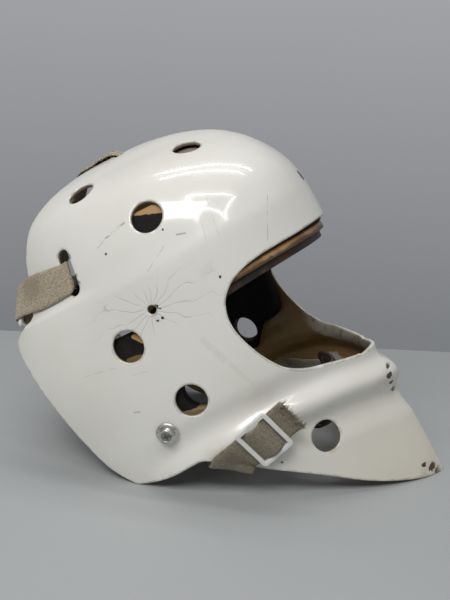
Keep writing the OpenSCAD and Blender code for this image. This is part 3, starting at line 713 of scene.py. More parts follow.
def grid_solid(outer, inner, cols, rows):
    """Faces of a closed body between two grids of the same size, the outer one seen from outside."""
    size = len(outer)

    def spot(i, j):
        return i * (rows + 1) + j

    i, j = (g.ravel() for g in np.meshgrid(np.arange(cols), np.arange(rows), indexing="ij"))
    quads = np.stack([spot(i, j), spot(i + 1, j), spot(i + 1, j + 1), spot(i, j + 1)], -1)
    rim = np.array([spot(i, 0) for i in range(cols)] + [spot(cols, j) for j in range(rows)]
                   + [spot(i, rows) for i in range(cols, 0, -1)]
                   + [spot(0, j) for j in range(rows, 0, -1)])
    after = np.roll(rim, -1)
    sides = np.stack([after, rim, rim + size, after + size], -1)
    return np.concatenate([outer, inner]), [quads, quads[:, ::-1] + size, sides]


def pad(a0, a1, n0, n1, lay, thick, dip=0, taper=0.25, cols=56, rows=28, hook=(0, 1), rise=0):
    """Crowned pad on the inside of the shell between two angles and two levels.

    lay is its distance from the inner skin, dip bends both levels down at its ends and taper
    narrows it there. hook is how far its foot steps out to the skin, and up to what part of its
    height. rise lifts the foot of its front end. Also returns each point's place in millimetres.
    """
    u, v = np.meshgrid(np.linspace(0, 1, cols + 1), np.linspace(0, 1, rows + 1), indexing="ij")
    u, v = u.ravel(), v.ravel()
    part_u, part_v = 1 - np.abs(2 * u - 1) ** 4, 1 - np.abs(2 * v - 1) ** 4
    angle = np.radians(mix(a0, a1, u))
    foot = n0 + rise * ease(0.28, 0.18, u)
    level = (foot + (n1 - foot) * (0.5 + (v - 0.5) * (1 - taper * (1 - np.sqrt(part_u))))
             - dip * np.abs(2 * u - 1) ** 4)
    depth = thick * (0.15 + 0.85 * (part_u * part_v) ** 0.35)
    start = WALL + lay - hook[0] * ease(hook[1], 0.25, v)
    outer = off_skin(angle, level, -start)
    vertices, faces = grid_solid(outer, off_skin(angle, level, -start - depth), cols, rows)
    place = np.stack([np.abs(a1 - a0) * 1.9 * u, (n1 - n0) * v], -1)
    return vertices, faces, np.concatenate([place, place])


def mirrored(vertices, faces):
    return vertices * np.array([1, -1, 1]), [np.asarray(group)[:, ::-1] for group in faces]


def drill(piece, base_frame, radius, depth=60):
    """Round hole through a piece along a frame's z."""
    base, x, y, z = base_frame
    turn = np.linspace(0, 2 * np.pi, 49)[:-1]
    circle = radius * (np.outer(np.cos(turn), x) + np.outer(np.sin(turn), y))
    here = np.arange(len(turn))
    after = np.roll(here, -1)
    sides = np.stack([here, after, after + len(turn), here + len(turn)], -1)
    mesh = bpy.data.meshes.new("drill")
    mesh.from_pydata(row(np.concatenate([base + circle - depth * z, base + circle + depth * z])).tolist(),
                     [], sides.tolist() + [here[::-1].tolist(), (here + len(turn)).tolist()])
    tool = add_object("drill", mesh)
    cut = piece.modifiers.new("cut", "BOOLEAN")
    cut.operation = "DIFFERENCE"
    cut.object = tool
    bpy.context.view_layer.update()
    solid = piece.evaluated_get(bpy.context.evaluated_depsgraph_get())
    piece.data = bpy.data.meshes.new_from_object(solid)
    piece.modifiers.clear()
    bpy.data.objects.remove(tool)


def soft(piece, material):
    dress(piece, material)


# Tan lining and brown patches on the pads that show through the vents, and a painted glint (the first jaw
# stroke), each as a stroke, half-width and tint
TEMPLE_LINING = [((60, 183.5), (88, 173.5), 3.4, (0.46, 0.29, 0.14))]
# The first stroke is a painted glint on the jaw pad behind the vent, the others tan and brown patches
JAW_LINING_AND_GLINT = [((31.5, 106), (36, 101), 1.7, (0.52, 0.31, 0.12)),
              ((20, 92.5), (31, 91), 1.8, (0.20, 0.13, 0.05)),
              ((34, 43), (62, 38), 4.0, (0.26, 0.18, 0.10))]


def make_pads():
    black = foam()
    vertices, faces, place = pad(-58, 58, 118, 142, FIT, FOREHEAD_T, 4, 0.3)
    soft(add_piece("brow_foam", vertices, faces, "mask", ["forehead_pad"]), black)

    lay = FOREHEAD_T + 2 * FIT
    bands = [("sweatband", "tan_leather", tan_leather(), 70, 129, lay, (FOREHEAD_T - 0.4, 0.5)),
             ("sweatband_liner", "brown_leather", brown_leather(), 66, 123.5, lay + BAND_T + FIT,
              (FOREHEAD_T - 1.5, 0.75))]
    for node, slot_name, material, reach, top, lay, hook in bands:
        vertices, faces, place = pad(-reach, reach, top - BAND_H, top, lay, BAND_T, 5, 0.2, 150, 20, hook)
        piece = add_piece(f"{node}_leather", vertices, faces, "mask", [node])
        sheet_uv(piece, place)
        soft(piece, material)

    piece = add_piece("crown_cushion", *crown_pad(), "mask", ["crown_pad"])
    soft(piece, foam("crown_foam", crown=True))
    temple_foam = foam("temple_foam", TEMPLE_LINING)
    jaw_foam = foam("jaw_foam", JAW_LINING_AND_GLINT)

    for side, sign in SIDES.items():
        temple = pad(62, 100, 130, 181, 2 * FIT, TEMPLE_T, 0, 0.3)
        jaw = pad(65, 124, 31, 110, 4.5 * FIT, JAW_T, 0, 0.35, 64, 44, rise=18)
        slip = (0, 0) if sign > 0 else (7, 2)
        holes = [(VENTS[3][0] + slip[0], VENTS[3][1] + slip[1])]
        make_side_pad("temple", side, sign, temple, [VENTS[1][:2]] if sign > 0 else [], temple_foam)
        make_side_pad("jaw", side, sign, jaw, holes + [STUD], jaw_foam)


def make_side_pad(name, side, sign, solid, holes, material):
    vertices, faces, _ = solid
    piece = add_piece(f"{name}_foam_{side}", *(mirrored(vertices, faces) if sign < 0 else (vertices, faces)),
                      "mask", [f"{name}_pad_{side}"])
    flip = np.array([1, sign, 1])
    for place in holes:
        base, x, y, z = normal_frame(place)
        radius = 9 if place == STUD else 12
        drill(piece, (base * flip, x * flip, sign * y * flip, z * flip), radius)
    for face in piece.data.polygons:
        face.use_smooth = True
    soft(piece, material)


def crown_pad():
    """Pad under the crown, laid over the wearer's head from front to back."""
    cols, rows, half = 40, 36, CROWN_HALF
    share, across = np.meshgrid(np.linspace(0, 1, cols + 1), np.linspace(-1, 1, rows + 1), indexing="ij")
    share, across = share.ravel(), across.ravel()
    t, y = 62 + 66 * share, half * across * (1 - 0.2 * np.abs(2 * share - 1) ** 8)
    top = roof(t, y)[1] - 1.1 * (WALL + WEB_T + 2 * FIT + 0.2)
    rounding = ((1 - np.abs(2 * share - 1) ** 6) * (1 - np.abs(across) ** 6)) ** 0.4
    low = top - CROWN_T * (0.2 + 0.8 * rounding)
    return grid_solid(np.stack([t, y, top], -1), np.stack([t, y, low], -1), cols, rows)


# Moulded pieces on part of a ball

def ball_piece(name, loops, radius, wall, rim, turned, body, node):
    """Piece with a flat outline, moved onto a ball and given a wall. turned places it."""
    flat, tris = cut_sheet(loops, 3)
    points = np.column_stack([flat, np.sqrt(radius**2 - (flat**2).sum(axis=1))])
    thickness = wall(flat) if callable(wall) else wall
    vertices, faces, through_wall, edge_distance, _ = thicken(points, unit(points), tris, thickness, rim)
    piece = add_piece(name, turned(vertices), faces, body, [node])
    sheet_uv(piece, vertices[:, :2])
    point_value(piece, "through_wall", through_wall)
    point_value(piece, "edge_distance", edge_distance)
    return piece


def plate_place(p):
    """From the back plate's own axes, x up it and z out of it, to the wearer's."""
    c, s = math.cos(PLATE_TILT), math.sin(PLATE_TILT)
    return PLATE_CENTRE + np.stack([p[:, 0] * s - p[:, 2] * c, p[:, 1], p[:, 0] * c + p[:, 2] * s], -1)


def cup_place(p):
    c, s = math.cos(CUP_PITCH), math.sin(CUP_PITCH)
    return CUP_CENTRE + np.stack([p[:, 0] * c + p[:, 2] * s, p[:, 1], -p[:, 0] * s + p[:, 2] * c], -1)


def make_cup_and_back():
    outline = even(rounded(CUP_H / 2, CUP_W / 2, CUP_CORNER, steps=24), 2)
    cup = ball_piece("chin_cup_leather", [outline], CUP_R, CUP_T, 1.4, cup_place, "chin", "chin_cup")
    soft(cup, brown_leather(stitched=True))

    slots = [rounded(2.5, WEB_W / 2 + 1, 1.2, (PLATE_H / 2 - 9, 0))]
    slots += [rounded(WEB_W / 2 + 1, 2.5, 1.2, (PLATE_SLOT_X, s * (PLATE_W / 2 - 8))) for s in (-1, 1)]
    outline = even(rounded(PLATE_H / 2, PLATE_W / 2, 18, steps=24), 2.4)
    plate = ball_piece("back_shell", [outline] + [even(slot, 1.8) for slot in slots], PLATE_R, PLATE_T,
                       0.9, plate_place, "back", "back_plate")
    dress(plate, white_plastic())

    half_x, half_y = PLATE_H / 2 - 9, PLATE_W / 2 - 9

    def crowned(p):
        part = (1 - np.abs(p[:, 0] / half_x) ** 4).clip(0) * (1 - np.abs(p[:, 1] / half_y) ** 4).clip(0)
        return BACK_PAD_T * (0.5 + 0.5 * part**0.4)

    pad_outline = even(rounded(half_x, half_y, 14, steps=24), 2.4)
    back = ball_piece("back_foam", [pad_outline], PLATE_R - PLATE_T - FIT, crowned, 2, plate_place,
                      "back", "back_pad")
    soft(back, foam())


# Buckles

def make_buckle(name, body, node, base_frame, sign, material):
    """Moulded slide with three bars."""
    base, x, y, z = base_frame
    edge = 0.55
    window_x, window_y = (BUCKLE_L - 3 * BAR_W) / 4, BUCKLE_W / 2 - BAR_W
    outlines = [rounded(BUCKLE_L / 2 - edge, BUCKLE_W / 2 - edge, 3 - edge)]
    for s in (-1, 1):
        outlines.append(rounded(window_x + edge, window_y + edge, 1.2, (s * (window_x + BAR_W / 2), 0)))
    curve = bpy.data.curves.new(name, "CURVE")
    curve.dimensions = "2D"
    curve.fill_mode = "BOTH"
    curve.extrude = BAR_T / 2 - edge
    curve.bevel_depth = edge
    curve.bevel_resolution = 3
    for outline in outlines:
        spline_data = curve.splines.new("POLY")
        spline_data.points.add(len(outline) - 1)
        spline_data.points.foreach_set("co", np.column_stack([outline, np.zeros(len(outline)),
                                                              np.ones(len(outline))]).ravel())
        spline_data.use_cyclic_u = True
    holder = add_object(name, curve)
    bpy.context.view_layer.update()
    mesh = bpy.data.meshes.new_from_object(holder.evaluated_get(bpy.context.evaluated_depsgraph_get()))
    bpy.data.objects.remove(holder)
    local = np.empty(len(mesh.vertices) * 3)
    mesh.vertices.foreach_get("co", local)
    local = local.reshape(-1, 3) + [0, 0, BAR_T / 2]
    points = base + local[:, :1] * x + local[:, 1:2] * y + local[:, 2:] * z
    faces = [list(face.vertices) for face in mesh.polygons]
    bpy.data.meshes.remove(mesh)
    if sign < 0:
        points, faces = points * [1, -1, 1], [face[::-1] for face in faces]
    piece = add_piece(name, points, [faces], body, [node], smooth=False)
    dress(piece, material)


# Webbing

def skin_row(p, q, d, count=4):
    share = np.linspace(0, 1, count + 1)[:, None]
    return at(mix(p, q, share), d)


def flat_row(p, q, count=4):
    return mix(p, q, np.linspace(0, 1, count + 1)[:, None])


def frame_row(f, x, z):
    middle = f[0] + x * f[1] + z * f[3]
    return flat_row(middle - WEB_W / 2 * f[2], middle + WEB_W / 2 * f[2])


def woven(f, lift, fore=3, aft=4):
    """Rows through a buckle: under the first bar, over the middle one and under the last."""
    edge, over, rise = BUCKLE_L / 2, BAR_T + 2 * FIT + 0.1, BAR_W / 2 + 0.3
    foot, low = edge - BAR_W - 0.6, lift - WEB_T - FIT
    places = [(-edge - fore, low), (-edge + BAR_W / 2, low), (-foot, low), (-rise, lift + over),
              (0, lift + over + 0.2), (rise, lift + over), (foot, low), (edge - BAR_W / 2, low),
              (edge + aft, low)]
    return [frame_row(f, x, z) for x, z in places]


def webbing_grid(rows, spacing=1.3, rounds=3, across=16):
    """Even, softened rows of points through the given ones, and how far along each is."""
    share = np.linspace(0, 4, across + 1)
    low = np.minimum(share.astype(int), 3)
    rows = np.array([mix(r[low], r[low + 1], (share - low)[:, None]) for r in rows])
    steps = np.linalg.norm(np.diff(rows[:, across // 2], axis=0), axis=1)
    along = np.concatenate([[0], np.cumsum(steps)])
    places = np.linspace(0, along[-1], round(along[-1] / spacing) + 1)
    i = np.clip(np.searchsorted(along, places, side="right") - 1, 0, len(along) - 2)
    grid = mix(rows[i], rows[i + 1], ((places - along[i]) / steps[i])[:, None, None])
    for _ in range(rounds):
        grid[1:-1] = 0.25 * grid[:-2] + 0.5 * grid[1:-1] + 0.25 * grid[2:]
    return grid, places


def yarns(starts, ways, lengths, thick, rng):
    """Bent, tapering bits of yarn from the given points."""
    cross = unit(np.cross(ways, rng.normal(size=ways.shape))) * thick
    bend = 0.4 * lengths * unit(rng.normal(size=ways.shape))
    middle = starts + 0.55 * lengths * ways + 0.4 * bend
    tip = starts + lengths * ways + bend
    points = np.stack([starts - cross, starts + cross, middle + 0.8 * cross, middle - 0.8 * cross, tip], 1)
    first = 5 * np.arange(len(starts))[:, None]
    return points.reshape(-1, 3), first + [0, 1, 2, 3], first + [3, 2, 4]


def loose_yarns(grid, up, thickness, fuzz, fray, rng):
    """Yarns that stand off both faces and the selvedges, and longer ones from the last row."""
    count, width = grid.shape[:2]
    number = int(fuzz * count * width)
    i, j = rng.integers(0, count, number), rng.integers(0, width, number)
    face = rng.random(number) < 0.5
    starts = grid[i, j] + up[i, j] * np.where(face, 0.9, 0.1)[:, None] * thickness
    ways = np.where(face, 0.7, -0.7)[:, None] * up[i, j] + 0.8 * unit(rng.normal(size=(number, 3)))
    lengths = rng.uniform(0.5, 1.5, number)
    if fray:
        place = rng.uniform(0, width - 1.01, fray)
        back = rng.integers(1, 6, fray)
        k = place.astype(int)
        base = mix(grid[-back, k], grid[-back, k + 1], (place - k)[:, None])
        ahead = unit(grid[-1] - grid[-3])[k]
        starts = np.concatenate([starts, base + up[-1, k] * rng.uniform(0, 1.6 * thickness, (fray, 1))])
        ways = np.concatenate([ways, ahead + 0.5 * up[-1, k] + 0.7 * unit(rng.normal(size=(fray, 3)))])
        lengths = np.concatenate([lengths, rng.uniform(1.5, 5.0, fray)])
        j = np.concatenate([j, k])
        i = np.concatenate([i, count - back])
    points, quads, tips = yarns(starts, unit(ways), lengths[:, None], 0.13, rng)
    return points, quads, tips, i, j


def make_webbing(name, node, rows, sign, material, fuzz=0.3, fray=0, seed=1, rough_end=0):
    """Strap on its rows, which cross the joint between two bodies from one point to another."""
    grid, along = webbing_grid(rows)
    count, width = grid.shape[:2]
    up = unit(np.cross(np.gradient(grid, axis=0), np.gradient(grid, axis=1)))
    rng = np.random.default_rng(seed)
    share = np.linspace(-1, 1, width)
    uneven = rng.normal(size=(count, width))
    for _ in range(2):
        uneven[1:-1] = (uneven[:-2] + uneven[1:-1] + uneven[2:]) / 3
    lump = 0.09 * uneven + rough_end * ease(8, 1, along[-1] - along)[:, None] * np.abs(uneven) * 2.2
    half = WEB_T / 2 * (1 - 0.75 * np.abs(share) ** 10)
    centre = grid + up * WEB_T / 2
    low = centre - up * half[None, :, None]
    high = centre + up * (half + lump)[:, :, None]
    points, faces = grid_solid(high.reshape(-1, 3), low.reshape(-1, 3), count - 1, width - 1)
    uv = np.stack(np.broadcast_arrays((share + 1) * WEB_W / 2, along[:, None]), -1)
    loose, quads, tips, i, j = loose_yarns(grid, up, WEB_T, fuzz, fray, rng)
    faces += [quads + len(points), tips + len(points)]
    flat = uv.reshape(-1, 2)
    flat = np.concatenate([flat, flat, np.repeat(uv[i, j], 5, axis=0)])
    points = np.concatenate([points, loose])
    if sign < 0:
        points, faces = mirrored(points, faces)
    piece = add_piece(name, points, faces, None)
    sheet_uv(piece, flat)
    dress(piece, material)
    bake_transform(piece)
    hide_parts(node)


def chin_rows():
    gap = FIT + 0.1
    inner = -(WALL + gap + 0.9)
    clear = np.array([-1.9, -2.4])
    back, front = np.array([41, 8.6]), np.array([63.5, -9.8])
    reach = math.sqrt(CUP_R**2 - (CUP_W / 2) ** 2)
    c, s = math.cos(CUP_PITCH), math.sin(CUP_PITCH)
    hold = CUP_CENTRE + [reach * s, CUP_W / 2 + 1.3, reach * c]
    down = WEB_W / 2 * np.array([c, 0, -s])
    hang = [flat_row(hold - down, hold + down),
            flat_row(hold + [-9, 14, 1] - down, hold + [-14, 14, 1] + down),
            flat_row(hold + [-22, 30, 1] - down, hold + [-28, 31, 0] + down),
            skin_row((68, 12), (80, -12), inner - 0.6),
            skin_row(back + [4, 3], front + [4, 3], inner)]
    outside = [hang[-1], skin_row(back + clear, front + clear, inner),
               skin_row(back + 1.7 * clear, front + 1.7 * clear, -WALL / 2),
               skin_row(back + clear, front + clear, gap),
               skin_row(back + [3, 3], front + [2, 2], gap)]
    return hang, outside


def side_rows(side_frame):
    out = FIT + 0.1 + WEB_T
    inner = -(WALL + out)
    spots = np.array([[PLATE_SLOT_X + x, PLATE_W / 2 - 7] for x in (WEB_W / 2, -WEB_W / 2)])
    radius = PLATE_R + 0.4 + WEB_T
    ends = plate_place(np.column_stack([spots, np.sqrt(radius**2 - (spots**2).sum(axis=1))]))
    skin_rows = [((-34, 175), (-35, 152), inner), ((-22, 174), (-22, 152), inner),
                 ((-8, 174), (-8, 153), inner), ((2.5, 173.5), (2, 154), inner),
                 ((6.6, 173), (6, 153.5), -WALL / 2), ((4, 171), (4, 150.3), out),
                 ((-8, 172.5), (-8, 149.6), out), ((-20, 174), (-20, 149), out),
                 ((-30, 175), (-30, 149.6), out), ((-38, 175), (-41, 150.8), out + 0.4)]
    return ([skin_row(*spec) for spec in skin_rows]
            + [flat_row((-47, CHEEK_HALF - 35.5, 173.5), (-50, CHEEK_HALF - 27.5, 152.5))]
            + woven(side_frame, 0) + [flat_row(*ends)])


def top_rows(top_frame):
    half = WEB_W / 2
    under = -1.04 * (WALL + FIT + 0.1 + WEB_T)
    across = np.linspace(half, -half, 5)

    def over_crown(t, d):
        return np.stack([np.full(5, float(t)), across, roof(t, across)[1] + d], -1)

    def level(t, n):
        return flat_row((t, half, n), (t, -half, n))

    slot_t = TOP_SLOT[0]
    rows = [over_crown(94, under - 0.3)] + [over_crown(t, under) for t in (82, 68, 57)]
    rows += [over_crown(slot_t + 2.8, under - 0.2), over_crown(slot_t - 3, 0.4), over_crown(slot_t - 8, 2),
             over_crown(34, 2), over_crown(24, 0.6), over_crown(14, 0.5), level(9.5, 226.4)]
    rows += woven(top_frame, 0)
    for x, d in ((PLATE_H / 2 + 2, 2.5), (PLATE_H / 2 - 7, 0.6)):
        spot = plate_place(np.array([[x, 0, math.sqrt((PLATE_R + d) ** 2 - x**2)]]))[0]
        rows.append(level(spot[0], spot[2]))
    return rows


def make_harness():
    white = white_plastic()
    chin_frame = skin_frame(BUCKLE_PLACE, BUCKLE_AHEAD, BUCKLE_L / 2, BUCKLE_W / 2)
    lifted = (chin_frame[0] + BUCKLE_LIFT * chin_frame[3], *chin_frame[1:])
    side_frame = framed((-52.2, CHEEK_HALF - 46.6, 152.4), (0.02, -0.79, -0.6), (-0.25, 0.58, -0.775))
    top_frame = framed((-24, 0, 196), (-0.72, 0, -0.69), (0, -1, 0))
    hang, outside = chin_rows()
    outside = outside + woven(chin_frame, BUCKLE_LIFT, aft=12)
    chin_web, side_web = webbing("chin_webbing", worn=True), webbing("harness_webbing")
    for k, (side, sign) in enumerate(SIDES.items()):
        make_buckle(f"chin_slide_{side}", f"{side}_buckle", f"chin_buckle_{side}", lifted, sign, white)
        make_buckle(f"side_slide_{side}", "back", f"side_buckle_{side}", side_frame, sign, white)
        make_webbing(f"chin_web_inner_{side}", f"chin_strap_{side}", hang, sign, chin_web,
                     0.2, seed=11 + k)
        make_webbing(f"chin_web_outer_{side}", f"chin_strap_{side}", outside, sign, chin_web,
                     0.25, 420, 21 + k, 1)
        make_webbing(f"side_web_{side}", f"side_strap_{side}", side_rows(side_frame), sign, side_web,
                     1.1,
                     seed=31 + k)
    make_buckle("top_slide", "back", "top_buckle", top_frame, 1, white)
    make_webbing("top_web", "top_strap", top_rows(top_frame), 1, side_web,
                 1.1, seed=41)


# Snap studs

def make_studs():
    material = steel("stud_steel")
    flange, button, height = 8, 5, 4.5
    profile = [(3.65, height - 2.2), (3.65, height - 0.15), (3.8, height), (button - 0.7, height),
               (button - 0.25, height - 0.15), (button, height - 0.55), (button, 3.3), (button - 0.15, 3.05),
               (button - 0.8, 2.4), (button - 0.85, 1.45), (button - 0.6, 1.25), (flange - 2.4, 1.25),
               (flange - 2.1, 1.35), (flange - 1.2, 1.35), (flange - 0.9, 1.2), (flange - 0.25, 0.75),
               (flange, 0.45), (flange, 0.15), (flange - 0.15, 0), (2.15, 0), (2.15, height - 2.2)]
    base, x, y, z = skin_frame(STUD, (STUD[0] + 40, STUD[1]), flange, flange)
    base = base + 2 * FIT * z
    turns = 72
    angle = np.arange(turns) * 2 * np.pi / turns
    r, h = np.array(profile).T
    ring_x = np.outer(r, np.cos(angle))[..., None] * x
    ring_y = np.outer(r, np.sin(angle))[..., None] * y
    points = (base + ring_x + ring_y + h[:, None, None] * z).reshape(-1, 3)
    i, j = (g.ravel() for g in np.meshgrid(np.arange(len(r)), np.arange(turns), indexing="ij"))
    lower, nxt = (i + 1) % len(r) * turns, (j + 1) % turns
    faces = np.stack([i * turns + j, lower + j, lower + nxt, i * turns + nxt], -1)
    for side, sign in SIDES.items():
        placed, turned = (points, [faces]) if sign > 0 else mirrored(points, [faces])
        piece = add_piece(f"stud_{side}", placed, turned, "mask", [f"snap_stud_{side}"])
        dress(piece, material)
    fastener = steel("fastener_steel", dull=True)
    for node in ("snap_screw_left", "snap_screw_right", "snap_nut_left", "snap_nut_right",
                 "forehead_tnut"):
        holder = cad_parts[node]
        holder.data.materials.clear()
        holder.data.materials.append(fastener)


# Materials

class Look:
    """A node material, built with short calls."""

    def __init__(self, name):
        self.material = bpy.data.materials.new(name)
        self.material.use_nodes = True
        self.tree = self.material.node_tree
        self.shader = self.tree.nodes["Principled BSDF"]
        self.place = self.add("ShaderNodeTexCoord").outputs["Object"]

    def add(self, kind, inputs=None, **settings):
        node = self.tree.nodes.new(kind)
        for key, value in settings.items():
            setattr(node, key, value)
        for key, value in (inputs or {}).items():
            if isinstance(value, bpy.types.NodeSocket):
                self.tree.links.new(value, node.inputs[key])
            else:
                node.inputs[key].default_value = value
        return node

    def calc(self, operation, *values, clamp=False):
        return self.add("ShaderNodeMath", dict(enumerate(values)), operation=operation,
                        use_clamp=clamp).outputs[0]

    def times(self, a, b, clamp=False):
        return self.calc("MULTIPLY", a, b, clamp=clamp)

    def plus(self, a, b):
        return self.calc("ADD", a, b)

    def minus(self, a, b):
        return self.calc("SUBTRACT", a, b)

    def split(self, vector):
        return self.add("ShaderNodeSeparateXYZ", {0: vector}).outputs

    def vector(self, operation, *values):
        node = self.add("ShaderNodeVectorMath", dict(enumerate(values)), operation=operation)
        return node.outputs["Value" if operation in ("LENGTH", "DOT_PRODUCT") else "Vector"]

    def scaled(self, vector, amount):
        return self.add("ShaderNodeVectorMath", {"Vector": vector, "Scale": amount},
                        operation="SCALE").outputs["Vector"]

    def ramp(self, value, low, high, start=0.0, end=1.0):
        return self.add("ShaderNodeMapRange", {"Value": value, "From Min": low, "From Max": high,
                                               "To Min": start, "To Max": end},
                        interpolation_type="SMOOTHSTEP").outputs["Result"]

    def noise(self, scale, detail=2.0, roughness=0.5, vector=None, distortion=0.0):
        return self.add("ShaderNodeTexNoise", {"Vector": vector or self.place, "Scale": scale,
                                               "Detail": detail, "Roughness": roughness,
                                               "Distortion": distortion}).outputs["Fac"]

    def blend(self, factor, a, b):
        return self.add("ShaderNodeMix", {"Factor": factor, 6: colour(a), 7: colour(b)},
                        data_type="RGBA").outputs[2]

    def value(self, name):
        return self.add("ShaderNodeAttribute", attribute_name=name).outputs["Fac"]

    def set(self, **values):
        for key, value in values.items():
            socket = self.shader.inputs[key.replace("_", " ").title().replace("Ior", "IOR")]
            if isinstance(value, bpy.types.NodeSocket):
                self.tree.links.new(value, socket)
            else:
                socket.default_value = colour(value) if isinstance(value, tuple) else value

    def bump(self, height, distance, strength=1.0, normal=None):
        inputs = {"Height": height, "Distance": distance * MM, "Strength": strength}
        if normal is not None:
            inputs["Normal"] = normal
        result = self.add("ShaderNodeBump", inputs).outputs["Normal"]
        self.tree.links.new(result, self.shader.inputs["Normal"])
        return result


def colour(value):
    return value if isinstance(value, bpy.types.NodeSocket) or len(value) == 4 else (*value, 1.0)


def side_view(look):
    """The side-view place (t, n, 0) of a point, in millimetres."""
    c, s = math.cos(REST_PITCH), math.sin(REST_PITCH)
    moved = look.vector("ADD", look.scaled(look.place, 1 / MM), tuple(REST_SHIFT))
    t = look.vector("DOT_PRODUCT", moved, (c, 0, s))
    n = look.vector("DOT_PRODUCT", moved, (-s, 0, c))
    return look.add("ShaderNodeCombineXYZ", {0: t, 1: n}).outputs[0]


def segment_distance(look, place, start, end):
    """Distance in millimetres from the side-view place to a straight stroke."""
    start, end = np.array([*start, 0.0]), np.array([*end, 0.0])
    way = end - start
    offset = look.vector("SUBTRACT", place, tuple(start))
    share = look.vector("DOT_PRODUCT", offset, tuple(way / max(way @ way, 1e-6)))
    share = look.times(share, 1.0, clamp=True)
    nearest = look.add("ShaderNodeVectorMath", {"Vector": tuple(way), "Scale": share},
                       operation="SCALE").outputs["Vector"]
    return look.vector("LENGTH", look.vector("SUBTRACT", offset, nearest))


# Marks on the wearer's right side, in the side view: strokes as start, end, half-width and strength
SCUFFS = [((42.7, 173.1), (58.3, 176.4), 0.9, 0.6), ((34.6, 169.7), (42.7, 173.1), 0.6, 0.35),
          ((88.5, 153.8), (93.7, 152.2), 0.7, 0.6), ((74.5, 85.3), (81, 66), 2.6, 0.1),
          ((83, 62), (88.8, 44.2), 1.8, 0.08), ((147, 150.6), (136, 124), 0.25, 0.5),
          ((62, 141), (80, 152), 0.4, 0.3), ((18, 84), (31, 82), 0.3, 0.3), ((-12, 96), (10, 93), 0.3, 0.35),
          ((8, 60), (12, 59), 0.6, 0.5), ((104, 143), (108, 171), 0.2, 0.4),
          ((112, 140), (114, 168), 0.2, 0.3)]
# Chips down to the laminate, as a place and a radius
CHIPS = [((57.2, 118.2), 1.1), ((58.8, 115.9), 0.8), ((53.5, 109.2), 0.6), ((57.5, 109.6), 0.8),
         ((38.8, 163.6), 0.6), ((81.4, 160.5), 0.6), ((80.2, -15.7), 0.8), ((-56.3, 114.8), 1.0),
         ((164, -1.4), 1.4), ((162.5, -7), 1.9), ((161, -13), 1.3), ((160, -20), 1.8), ((161.5, -25), 0.9),
         ((157, -80), 1.4), ((161, -86), 2.4), ((164, -92), 2.6), ((101.5, 117), 0.5)]
CRACKS = 17
STAINS = [((96.8, 124.5), 9, (0.72, 0.62, 0.52), 0.35), (STUD, 12, (0.42, 0.33, 0.22), 0.45),
          ((52, 2), 24, (0.45, 0.36, 0.24), 0.35), ((162, -13), 15, (0.42, 0.30, 0.18), 0.4),
          ((160, -88), 13, (0.42, 0.30, 0.18), 0.45), (CAGE_HOLE[:2], 7, (0.42, 0.36, 0.29), 0.4)]


def near_side(look):
    """1 on the wearer's right side, 0 on the left."""
    across = look.split(look.place)[1]
    return look.ramp(across, -0.012, -0.002, 1.0, 0.0)


def cracks(look, place):
    """Fine wandering cracks that fan out of the empty cage hole."""
    offset = look.vector("SUBTRACT", place, (CAGE_HOLE[0], CAGE_HOLE[1], 0.0))
    radius = look.vector("LENGTH", offset)
    parts = look.split(offset)
    turn = look.calc("ARCTAN2", parts[1], parts[0])
    bend = look.times(look.minus(look.noise(38, 2), 0.5), 2.6)
    phase = look.plus(look.times(turn, CRACKS / (2 * math.pi)), bend)
    gap = look.calc("ABSOLUTE", look.minus(look.calc("FRACT", phase), 0.5))
    off = look.times(look.times(gap, radius), 2 * math.pi / CRACKS)
    line = look.ramp(off, 0.12, 0.4, 1.0, 0.0)
    level = look.calc("POWER", look.calc("ABSOLUTE", look.calc("COSINE", turn)), 3.0)
    reach = look.plus(look.times(level, 46.0), 17.0)
    share = look.calc("DIVIDE", radius, reach)
    fade = look.times(look.ramp(share, 0.55, 1.0, 1.0, 0.0), look.ramp(radius, 3.2, 6.0))
    return look.times(line, look.times(fade, look.ramp(look.noise(70, 2), 0.35, 0.5)))


